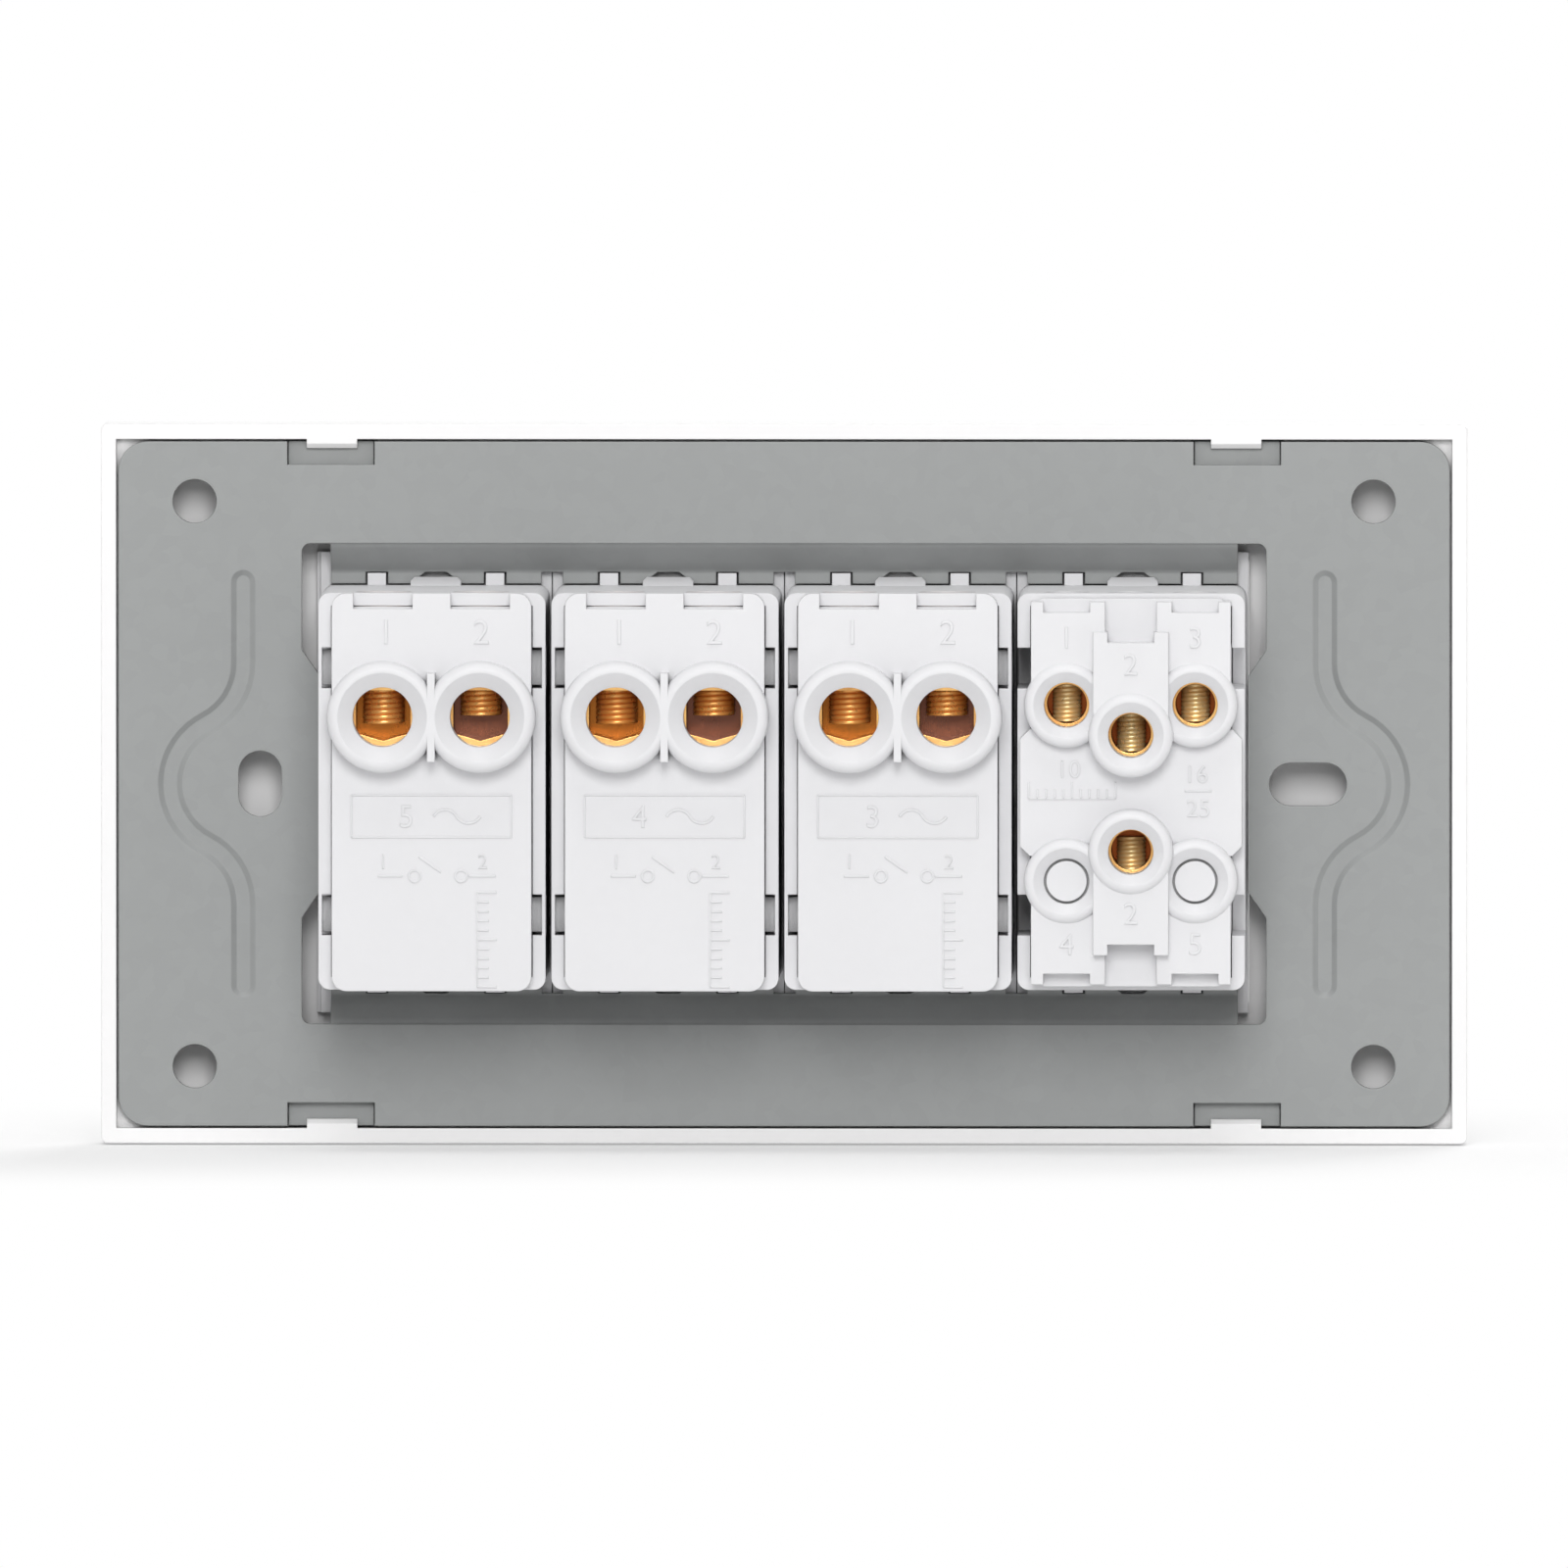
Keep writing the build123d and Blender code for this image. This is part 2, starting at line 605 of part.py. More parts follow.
def rivet_hole():
    return rod_y(0, TAB_Z, RIVET_R + THREAD_GAP, (TAB_Y[0], TAB_Y[1] + SEAT_GAP))


def cage(x, tip):
    """Brass cage round the wire way of a single module, tapped through its roof down to the screw's tip."""
    inner = CAGE_W / 2 - CAGE_WALL
    y = (CAGE_FRONT, CAVITY_REAR - SEAT_GAP)
    box = block(around(x, CAGE_W / 2), y, (CAGE_FLOOR - CAGE_WALL, CAGE_TOP + CAGE_ROOF))
    way = outline(
        (x + CAGE_CORNER - inner, CAGE_TOP),
        (x + inner - CAGE_CORNER, CAGE_TOP),
        (x + inner, CAGE_TOP - CAGE_CORNER),
        (x + inner, CAGE_FLOOR + CAGE_VEE),
        (x, CAGE_FLOOR),
        (x - inner, CAGE_FLOOR + CAGE_VEE),
        (x - inner, CAGE_TOP - CAGE_CORNER),
    )
    reach = (tip - SEAT_GAP, CAGE_TOP + CAGE_ROOF)
    tapping = rod_z(x, SCREW_Y, SCREW_R + THREAD_GAP, reach)
    return box - [slab(way, (y[0] + CAGE_WALL, y[1])), tapping]


def single_common():
    """Cage with a strip that carries the fulcrum to the middle of the module."""
    y = (CAGE_FRONT, CAGE_FRONT + STRIP_T)
    drop = block(around(-WIRE_X, CAGE_W / 2), y, (-STRIP_H / 2, CAGE_FLOOR))
    foot = block((-WIRE_X, EAR_X + EAR_T), y, around(0, STRIP_H / 2))
    return cage(-WIRE_X, SCREW_TIPS[1]) + [drop, foot, fulcrum()]


def single_switched():
    """Cage with the tab of the fixed contact across its front."""
    bridge = block(
        around(WIRE_X, CAGE_W / 2), (TAB_Y[0], CAGE_FRONT + SEAT_GAP), around(TAB_Z, TAB_HALF)
    )
    return cage(WIRE_X, SCREW_TIPS[0]) + [bridge, contact_tab((-TIP_R - SEAT_GAP, WIRE_X))] - rivet_hole()


def terminal_screw(r, tip, seat, head_r, head_h):
    """Slotted screw along Z, from its tip up to a head whose underside is at seat."""
    screw = rod_z(0, 0, r, (tip, seat + SEAT_GAP)) + rod_z(0, 0, head_r, (seat, seat + head_h))
    return screw - block((-head_r, head_r), around(0, SCREW_SLOT / 2), (seat + head_h / 2, seat + head_h))


def single_screws():
    seat = CAGE_TOP + CAGE_ROOF + SCREW_HEAD_RISE
    return [
        Pos(side * WIRE_X, SCREW_Y, 0) * terminal_screw(SCREW_R, tip, seat, SCREW_HEAD_R, SCREW_HEAD_H)
        for side, tip in zip((1, -1), SCREW_TIPS)
    ]


def bored_block(z):
    """Brass block of the twin module round a wire bore at height z, tapped from above."""
    y = (CAGE_FRONT, TWIN_CAVITY_REAR - SEAT_GAP)
    body = block(around(0, BLOCK_W / 2), y, (z - BLOCK_BELOW, z + BLOCK_ABOVE))
    tapping = rod_z(0, SCREW_Y, TWIN_SCREW_R + THREAD_GAP, (z - TWIN_TIP - MOVE_GAP, z + BLOCK_ABOVE))
    return body - [rod_y(0, z, BLOCK_BORE_R, (y[0] + CAGE_WALL, y[1])), tapping]


def twin_common():
    """Upper middle block, with the strip and fulcrum of the gang at the right."""
    y = (CAGE_FRONT, CAGE_FRONT + STRIP_T)
    drop = block(
        (TWIN_FOOT_GAP / 2, BLOCK_W / 2), y, (-STRIP_H / 2, TWIN_MID_Z - BLOCK_BELOW + SEAT_GAP)
    )
    foot = block((TWIN_FOOT_GAP / 2, GANG_X + EAR_X + EAR_T), y, around(0, STRIP_H / 2))
    return bored_block(TWIN_MID_Z) + [drop, foot, Pos(GANG_X, 0, 0) * fulcrum()]


def twin_switched():
    """Side block with the tab of the fixed contact, drawn about the gang's own middle."""
    shift = TWIN_X - GANG_X
    bridge = block(
        around(shift, BLOCK_W / 2),
        (TAB_Y[0], CAGE_FRONT + SEAT_GAP),
        (TWIN_SIDE_Z - BLOCK_BELOW, TAB_Z + TAB_HALF),
    )
    tab = contact_tab(around(0, TIP_R + SEAT_GAP))
    return Pos(shift, 0, 0) * bored_block(TWIN_SIDE_Z) + [bridge, tab] - rivet_hole()


def twin_screw(z, tip):
    """Screw that crosses the wire bore at height z and goes past its middle by tip."""
    seat = z + BLOCK_ABOVE + TWIN_HEAD_RISE
    screw = terminal_screw(TWIN_SCREW_R, z - tip, seat, TWIN_HEAD_R, TWIN_HEAD_H)
    return Pos(0, SCREW_Y, 0) * screw


def twin_screws():
    side, low = twin_screw(TWIN_SIDE_Z, TWIN_TIP), twin_screw(TWIN_MID_Z, TWIN_LOW_TIP)
    sides = [Pos(x, 0, 0) * side for x in (TWIN_X, -TWIN_X)]
    return [*sides, twin_screw(TWIN_MID_Z, TWIN_TIP), mirror(low, about=Plane.XY)]


def collar(x, z, r, rim, y):
    """Ring round a wire entry, with a rounded rim."""
    ring = rod_y(x, z, r, y)
    return fillet(ring.edges().sort_by(Axis.Y)[-1], rim * 0.8)


def funnel(x, z, r, mouth_r, depth, rear):
    return Pos(x, rear - depth / 2, z) * Rot(-90, 0, 0) * Cone(r, mouth_r, depth)


def housing_shell(cavity_rear, snap_z, cap_h):
    """Moulded cup of a module: the part inside the sleeve, the rear cap and the snap bumps."""
    half = HOUSING_W / 2
    cap = block((-half, half), (CAP_FRONT, cavity_rear + REAR_WALL), around(0, cap_h / 2))
    shell = fillet(cap.edges().filter_by(Axis.Y), HOUSING_R)
    shell += block((-half, half), (HOUSING_FRONT, CAP_FRONT), (-BODY_Z, BODY_Z))
    shell -= block((-CAVITY_X, CAVITY_X), (HOUSING_FRONT, cavity_rear), (-CAVITY_Z, CAVITY_Z))
    front, rear = SNAP_Y[0] + SEAT_GAP, SNAP_Y[1] - SEAT_GAP
    peak = MODULE_W / 2 - 2 * SEAT_GAP
    root = half - HOUSING_WALL / 2
    bump = outline((root, front), (half, front), (peak, rear - LEAD_T), (peak, rear), (root, rear))
    snap = extrude(bump, SNAP_H - 2 * MOVE_GAP)
    return shell + four_ways(Pos(0, 0, snap_z - SNAP_H / 2 + MOVE_GAP) * snap)


def single_housing():
    """Cup of a single module, with two collars joined by a rib round its wire entries."""
    shell = housing_shell(CAVITY_REAR, SNAP_Z, HOUSING_H)
    deep = (RIB_FRONT, CAVITY_REAR)
    shell += block(around(0, RIB / 2), deep, (0, CAVITY_Z + SEAT_GAP))
    shelf = (-STRIP_H / 2, CAGE_FLOOR - CAGE_WALL - SEAT_GAP)
    shell += block(around(0, CAVITY_X + SEAT_GAP), deep, shelf)

    rear = HOUSING_REAR + COLLAR_H
    ring = collar(WIRE_X, WIRE_Z, COLLAR_R, COLLAR_RIM, (CAVITY_REAR + SEAT_GAP, rear))
    beyond = block((0, PITCH), (0, 2 * rear), around(WIRE_Z, PITCH))
    shell += both_sides(ring & beyond)
    rib_z = around(WIRE_Z, COLLAR_RIB_H / 2)
    shell += block(around(0, COLLAR_RIB_W / 2), (CAVITY_REAR + SEAT_GAP, rear), rib_z)

    top = HOUSING_H / 2
    cuts = [
        funnel(WIRE_X, WIRE_Z, WIRE_R, COLLAR_R - COLLAR_RIM, FUNNEL, rear),
        rod_y(WIRE_X, WIRE_Z, WIRE_R, (CAVITY_REAR, rear)),
        block(around(WIRE_X, NOTCH_W / 2), (CAP_FRONT, HOUSING_REAR), (top - NOTCH_H, top)),
        rod_z(WIRE_X, SCREW_Y, SCREW_HEAD_R + SEAT_GAP, (CAVITY_Z, BODY_Z)),
    ]
    return shell - [copy for cut in cuts for copy in both_sides(cut)]


def twin_housing():
    """Cup of the twin module, with side blocks, raised middle tongues and a collar on each."""
    shell = housing_shell(TWIN_CAVITY_REAR, TWIN_SNAP_Z, TWIN_CAP_H)
    deep = (RIB_FRONT, TWIN_CAVITY_REAR + SEAT_GAP)
    block_foot = TWIN_MID_Z - BLOCK_BELOW - SEAT_GAP
    shell += block(around(0, CAVITY_X + SEAT_GAP), deep, (-block_foot, block_foot))
    rib_x = (BLOCK_W / 2 + TWIN_X - BLOCK_W / 2) / 2
    shell += both_sides(block(around(rib_x, RIB / 2), deep, (0, CAVITY_Z + SEAT_GAP)))

    corner = TWIN_MID_CHAMFER
    half_w, half_h = TWIN_MID_W / 2, TWIN_MID_H / 2
    middle = outline(
        (-half_w, corner - half_h), (corner - half_w, -half_h), (half_w - corner, -half_h),
        (half_w, corner - half_h), (half_w, half_h - corner), (half_w - corner, half_h),
        (corner - half_w, half_h), (-half_w, half_h - corner),
    )
    shell += slab(middle, (CAP_FRONT, HOUSING_REAR))

    side_top = TWIN_CAP_H / 2 - MOVE_GAP
    side_y, tongue_y = (CAP_FRONT, TWIN_SIDE_REAR - TWIN_RISE), (CAP_FRONT, TWIN_TONGUE_REAR - TWIN_RISE)
    shell += four_ways(block((TWIN_CHANNEL_W / 2, HOUSING_W / 2), side_y, (TWIN_SIDE_Z, side_top)))
    ring = collar(TWIN_X, TWIN_SIDE_Z, TWIN_COLLAR_R, TWIN_RIM, (CAP_FRONT, TWIN_SIDE_REAR))
    shell += four_ways(ring)
    shell += both_ends(block(around(0, TWIN_TONGUE_W / 2), tongue_y, (TWIN_MID_Z, TWIN_TONGUE_TOP)))
    shell += both_ends(collar(0, TWIN_MID_Z, TWIN_COLLAR_R, TWIN_RIM, (CAP_FRONT, TWIN_TONGUE_REAR)))

    mouth = TWIN_COLLAR_R - TWIN_RIM
    inward = TWIN_CAVITY_REAR
    side_funnel = funnel(TWIN_X, TWIN_SIDE_Z, TWIN_R, mouth, TWIN_FUNNEL, TWIN_SIDE_REAR)
    cuts = four_ways(side_funnel)
    cuts += both_sides(rod_y(TWIN_X, TWIN_SIDE_Z, TWIN_R, (inward, TWIN_SIDE_REAR)))
    cuts += both_ends(funnel(0, TWIN_MID_Z, TWIN_R, mouth, TWIN_FUNNEL, TWIN_TONGUE_REAR))
    cuts += both_ends(rod_y(0, TWIN_MID_Z, TWIN_R, (inward, TWIN_TONGUE_REAR)))
    floor = TWIN_SIDE_REAR - TWIN_FUNNEL
    groove_y = (floor - TWIN_BLANK_DEPTH, floor)
    groove = rod_y(TWIN_X, -TWIN_SIDE_Z, TWIN_R, groove_y)
    groove -= rod_y(TWIN_X, -TWIN_SIDE_Z, TWIN_R - TWIN_BLANK_GROOVE, groove_y)
    cuts += both_sides(groove)
    notch_y = (TWIN_BASE, TWIN_TONGUE_REAR)
    cuts += four_ways(block(around(TWIN_X, TWIN_NOTCH_W / 2), notch_y, (side_top - TWIN_NOTCH_H, side_top)))
    cuts += both_ends(
        block(around(0, TWIN_NOTCH_W / 2), notch_y, (TWIN_TONGUE_TOP - TWIN_NOTCH_H, TWIN_TONGUE_TOP))
    )
    r = TWIN_HEAD_R + SEAT_GAP
    cuts += both_sides(rod_z(TWIN_X, SCREW_Y, r, (CAVITY_Z, BODY_Z)))
    cuts += both_ends(rod_z(0, SCREW_Y, r, (CAVITY_Z, BODY_Z)))
    return shell - cuts


def gang_pieces(number, middle, rocker_piece, common, switched):
    """Pieces of one gang, set at the X of its rocker's stem. The terminals come already placed."""
    place = Pos(middle, 0, 0)
    return {
        f"rocker_{number}": place * rocker_piece,
        f"plunger_{number}": place * plunger(),
        f"plunger_spring_{number}": place * plunger_spring(),
        f"contact_lever_{number}": place * contact_lever(),
        f"moving_contact_{number}": place * moving_contact(),
        f"fixed_contact_{number}": place * fixed_contact(),
        f"common_terminal_{number}": common,
        f"switched_terminal_{number}": switched,
    }


def all_pieces():
    pieces = {"front_plate": front_plate(), "bracket": bracket()}

    twin = Pos(MODULES[0], 0, 0)
    pieces["frame_twin"] = twin * twin_frame()
    pieces["housing_twin"] = twin * twin_housing()
    pieces["terminal_screws_twin"] = Compound(children=[twin * screw for screw in twin_screws()])
    right_switched = Pos(GANG_X, 0, 0) * twin_switched()
    left_switched = mirror(right_switched, about=Plane.YZ)
    right_common = twin_common()
    left_common = Rot(0, 180, 0) * right_common
    right_rocker = twin_rocker()
    left_rocker = mirror(right_rocker, about=Plane.YZ)
    pieces |= gang_pieces(1, MODULES[0] - GANG_X, left_rocker, twin * left_common, twin * left_switched)
    pieces |= gang_pieces(2, MODULES[0] + GANG_X, right_rocker, twin * right_common, twin * right_switched)

    for number, middle in enumerate(MODULES[1:], start=3):
        place = Pos(middle, 0, 0)
        pieces[f"frame_{number}"] = place * single_frame()
        pieces[f"housing_{number}"] = place * single_housing()
        screws = [place * screw for screw in single_screws()]
        pieces[f"terminal_screws_{number}"] = Compound(children=screws)
        pieces |= gang_pieces(
            number, middle, single_rocker(), place * single_common(), place * single_switched()
        )
    return pieces


os.makedirs("parts", exist_ok=True)
for name, piece in all_pieces().items():
    export_step(piece, f"parts/{name}.step")
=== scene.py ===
import json
from math import atan2, ceil, copysign, cos, hypot, pi, radians, sin

import bmesh
import bpy
from mathutils import Matrix, Vector


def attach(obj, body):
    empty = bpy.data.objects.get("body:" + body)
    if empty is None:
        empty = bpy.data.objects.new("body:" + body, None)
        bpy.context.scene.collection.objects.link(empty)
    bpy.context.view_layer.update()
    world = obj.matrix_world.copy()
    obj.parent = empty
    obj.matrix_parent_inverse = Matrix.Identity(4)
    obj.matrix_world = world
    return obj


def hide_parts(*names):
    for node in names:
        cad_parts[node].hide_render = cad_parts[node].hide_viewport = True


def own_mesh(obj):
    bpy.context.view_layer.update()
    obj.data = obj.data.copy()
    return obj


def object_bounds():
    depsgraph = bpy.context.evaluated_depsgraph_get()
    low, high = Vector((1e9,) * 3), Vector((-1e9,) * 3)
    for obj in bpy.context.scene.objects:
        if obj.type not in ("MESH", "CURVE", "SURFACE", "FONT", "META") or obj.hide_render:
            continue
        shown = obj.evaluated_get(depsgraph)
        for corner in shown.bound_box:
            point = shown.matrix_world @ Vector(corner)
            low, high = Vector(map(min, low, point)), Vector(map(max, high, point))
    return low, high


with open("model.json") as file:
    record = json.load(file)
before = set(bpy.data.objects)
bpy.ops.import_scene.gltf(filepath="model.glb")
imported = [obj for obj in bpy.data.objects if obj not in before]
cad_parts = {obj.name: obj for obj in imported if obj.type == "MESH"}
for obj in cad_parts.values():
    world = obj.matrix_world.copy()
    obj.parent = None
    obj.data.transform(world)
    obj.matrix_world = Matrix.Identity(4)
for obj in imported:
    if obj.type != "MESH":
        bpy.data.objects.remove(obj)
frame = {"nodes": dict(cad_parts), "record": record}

# Looks for the five-gang wall switch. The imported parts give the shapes. This script adds the threads, the
# round spring wire, the raised marks and rockers with clean edges, and the finish of every piece. Lengths
# are in millimetres until a shape is joined to its piece. The rear of the switch faces +Y, and the wall
# plane is Y = 0.

CAD_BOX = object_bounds()
MM = 0.001

# Points closer than MERGE become one, places closer than NEAR count as the same, and edges that turn by
# more than SHARP_TURN stay sharp
MERGE = 0.002
NEAR = 0.01
SHARP_TURN = radians(35)

# Places shared with the parts. The modules stand PITCH apart, twin module first, and the gangs of the twin
# module lie TWIN_SIDE to either side of its middle.
SINGLE_GANGS = ("3", "4", "5")
TWIN_GANGS = ("1", "2")
PITCH = 23.95
TWIN_SIDE = 5.875
MODULE_X = {name: PITCH * (place - 1.5) for place, name in enumerate(("twin", *SINGLE_GANGS))}
GANG_X = {
    "1": MODULE_X["twin"] - TWIN_SIDE,
    "2": MODULE_X["twin"] + TWIN_SIDE,
    **{gang: MODULE_X[gang] for gang in SINGLE_GANGS},
}
SCREW_Y = 15.2
SINGLE_REAR = 21.0
TWIN_PLATE_REAR = 21.0
TWIN_BLOCK_REAR = 22.5
TWIN_TONGUE_REAR = 23.8

# Terminal screws: place across the module, tip and underside of the head, and in the twin module which
# way the head looks. NECK is how far a shank runs up into its head.
SINGLE_SCREWS = [(5.0, 6.9, 14.8), (-5.0, 7.75, 14.8)]
SINGLE_THREAD = {"radius": 2.15, "pitch": 0.55, "head_r": 2.8, "head_h": 2.2, "slot": 0.8}
TWIN_SCREWS = [
    (-6.6, 7.15, 13.65, 1),
    (6.6, 7.15, 13.65, 1),
    (0.0, 4.1, 10.6, 1),
    (0.0, 4.75, 10.6, -1),
]
TWIN_THREAD = {"radius": 1.5, "pitch": 0.45, "head_r": 2.2, "head_h": 1.8, "slot": 0.8}
HEAD_STEPS = 40
HEAD_TOP_EDGE = 0.18
HEAD_FOOT_EDGE = 0.15
NECK = 0.05

# Rolled thread: its depth as a part of the pitch, steps in a turn, turns that the cuts at both ends take
# off, and its profile as place along a turn and height as a part of the depth
THREAD_DEPTH = 0.42
THREAD_STEPS = 28
SPARE_TURNS = 3
TOOTH = [
    (0, 0),
    (0.03, 0.4),
    (0.11, 0.7),
    (0.26, 0.92),
    (0.5, 1),
    (0.74, 0.92),
    (0.89, 0.7),
    (0.97, 0.4),
    (1, 0),
]

# Rockers, drawn level and then turned about their pins onto their stops, by TILT in degrees. FRONT, INSIDE,
# SEAT and END are places along Y: the face, the pocket's floor, and the back at its middle and its ends.
ROCKER_W = 23.3
TWIN_ROCKER_W = 11.55
ROCKER_HALF = 22.7
ROCKER_FRONT = -9.8
ROCKER_CROWN = 0.4
ROCKER_DRAFT = 0.5
ROCKER_WALL = 1.5
ROCKER_EDGE = 0.8
ROCKER_INSIDE = ROCKER_FRONT + ROCKER_WALL
ROCKER_SEAT = -6.1
ROCKER_END = -7.8865
CROWN_STEPS = 24
EDGE_STEPS = 8
PIVOT_Y = -3.0
TILT = 4.5
LEG_T = 1.5
LEG_R = 2.3
LEG_STEPS = 20
PIN_R = 1.4
PIN_STEPS = 32
STEM_R = 2.6
STEM_BORE = 1.7
STEM_STEPS = 40

# Root, floor of the bore and rear end of a stem
STEM_Y = (-8.4, -8.2, 3.4)

# Legs of a rocker: where the inner face of each and the end of its pin lie across the rocker
SINGLE_LEGS = [(8.55, 11.25), (-8.55, -11.25)]
TWIN_LEGS = [(2.675, 5.375), (-3.175, -5.675)]

# Plunger springs
COIL_R = 1.15
COIL_WIRE = 0.45
COIL_TURNS = 4
COIL_STEPS = 32
WIRE_STEPS = 12
COIL_Y = (-7.875, -1.225)

# Raised marks
MARK_H = 0.14
MARK_EDGE = 0.05
RING_STEPS = 28
WAVE_LEAN = radians(30)
GAUGE_STEPS = 10
LONG_TICK_EVERY = 5

# Marks of a single module, with u to the viewer's right and v up: terminal numbers, panel with the gang's
# number and a wave sign, contact sign, and strip gauge with its long and short ticks
TERMINAL_NUMBERS = [("1", -4.67), ("2", 5.13)]
TERMINAL_NUMBER_V = 16.5
TERMINAL_NUMBER_H = 2.5
PANEL_U = (-8.2, 8.2)
PANEL_V = (-4.65, -0.3)
PANEL_LINE = 0.2
PANEL_NUMBER_U = -2.6
PANEL_NUMBER_H = 2.3
PANEL_WAVE_U = 2.6
PANEL_WAVE_HALF = 2.4
PANEL_WAVE_LINE = 0.3
CONTACT_V = -8.6
CONTACT_LINE = 0.26
CONTACT_RING_R = 0.6
CONTACT_RING_U = (-1.74, 3.03)
CONTACT_LEAD_U = ((-5.55, -2.95), (3.83, 6.6))
CONTACT_ARM = ((-1.29, -6.6), (0.98, -8.2))
CONTACT_NUMBERS = [("1", -4.96), ("2", 5.26)]
CONTACT_NUMBER_V = -7.1
CONTACT_NUMBER_H = 1.5
GAUGE_ENDS = ((4.7, -10.3), (4.7, -20.0))
GAUGE_TICKS = ((2.0, 0.0), (1.2, 0.0))
GAUGE_LINE = 0.22

# Marks of the twin module: terminal numbers with their place across it, place up it and face, then a strip
# gauge, plain numbers and a bar on the plate between the terminals
TWIN_NUMBERS = [
    ("1", 6.6, 16.0, TWIN_BLOCK_REAR),
    ("3", -6.6, 16.0, TWIN_BLOCK_REAR),
    ("2", 0.0, 13.3, TWIN_TONGUE_REAR),
    ("2", 0.0, -12.3, TWIN_TONGUE_REAR),
    ("4", 6.6, -15.5, TWIN_BLOCK_REAR),
    ("5", -6.6, -15.5, TWIN_BLOCK_REAR),
]
TWIN_NUMBER_H = 2.2
TWIN_LINE = 0.24
TWIN_GAUGE_ENDS = ((-10.5, -0.6), (-1.6, -0.6))
TWIN_GAUGE_TICKS = ((0.0, 1.7), (0.0, 0.95))
TWIN_BAR_ENDS = ((5.5, 0.2), (8.3, 0.2))
TWIN_PLATE_NUMBERS = [("10", -6.2, 2.4), ("16", 6.9, 1.9), ("25", 6.9, -1.6)]
TWIN_PLATE_NUMBER_H = 1.8

# Moulded plastics: colour, roughness, strength of the skin, edge radius in metres and mottle
PLASTICS = {
    "plate_white": ((0.88, 0.875, 0.875), 0.34, 0.06, 0.00022, 0.015),
    "rocker_white": ((0.92, 0.92, 0.91), 0.3, 0.05, 0.0002, 0.015),
    "module_white": ((0.735, 0.733, 0.747), 0.46, 0.12, 0.00016, 0.03),
    "nylon": ((0.86, 0.85, 0.82), 0.42, 0.08, 0.00012, 0.03),
}

# Painted shade in narrow gaps: how near another surface has to be, in metres, and how dark the painted shade
# gets
GAP_REACH = 0.002
PAINTED_GAP_SHADE = (0.02, 0.02, 0.022, 1)

# Brass: the colour of painted shade deep inside a terminal, or none for the levers, which have no painted
# shade, and the depth over which the painted shade fades out towards the mouth, in metres
BRASS_DEEP_SHADE = {
    "brass": (0.13, 0.055, 0.037),
    "brass_warm_deep_shade": (0.3, 0.105, 0.02),
    "brass_red_deep_shade": (0.2, 0.05, 0.013),
    "lever_brass": None,
}
TERMINAL_Y = (0.014, 0.019)

# Brass pieces whose painted shade deep inside differs from that of the common terminals of the single
# modules
BRASS_TONE = {
    **{f"contact_lever_{gang}": "lever_brass" for gang in GANG_X},
    **{f"{kind}_terminal_{gang}": "brass_red_deep_shade" for kind in ("common", "switched") for gang in TWIN_GANGS},
    **{f"switched_terminal_{gang}": "brass_warm_deep_shade" for gang in SINGLE_GANGS},
}

# Plating of the screws: clean colour, tarnished colour and how metallic it is
SCREW_PLATING = {
    "screw_steel": ((1.0, 0.52, 0.16), (0.9, 0.36, 0.07), 0.5),
    "gold_screw": ((1.0, 0.84, 0.48), (1.0, 0.72, 0.32), 0.45),
}

# Studio: light of the world on matt surfaces, and lamps as name, place, size and power, in metres and watts
WORLD_LIGHT = 0.42
LAMPS = [
    ("key", (0.0, 1.9, 0.74), 0.75, 19.5),
    ("top", (0.0, 0.5, 1.6), 0.8, 7.0),
    ("fill", (-0.7, -1.9, 0.9), 1.0, 22.0),
]

# Camera: distance and farthest sight in metres, lens and sensor in millimetres, and how far it stands above
# the middle and to the viewer's right
CAMERA_AWAY = 6.0
CAMERA_FAR = 40
CAMERA_LENS = 1336.5
CAMERA_SENSOR = 36
CAMERA_TILT = radians(2.4)
CAMERA_TURN = radians(0.8)

# Floor, in metres: half its size, its drop below the plate, half the place that keeps the whole shadow,
# and the run over which it goes from partly to wholly white
FLOOR_HALF = 4.0
FLOOR_DROP = 0.0002
SHADOW_X = 0.07
SHADOW_Y = 0.02
SHADOW_FADE = 0.08
FLOOR_WHITE = 0.4


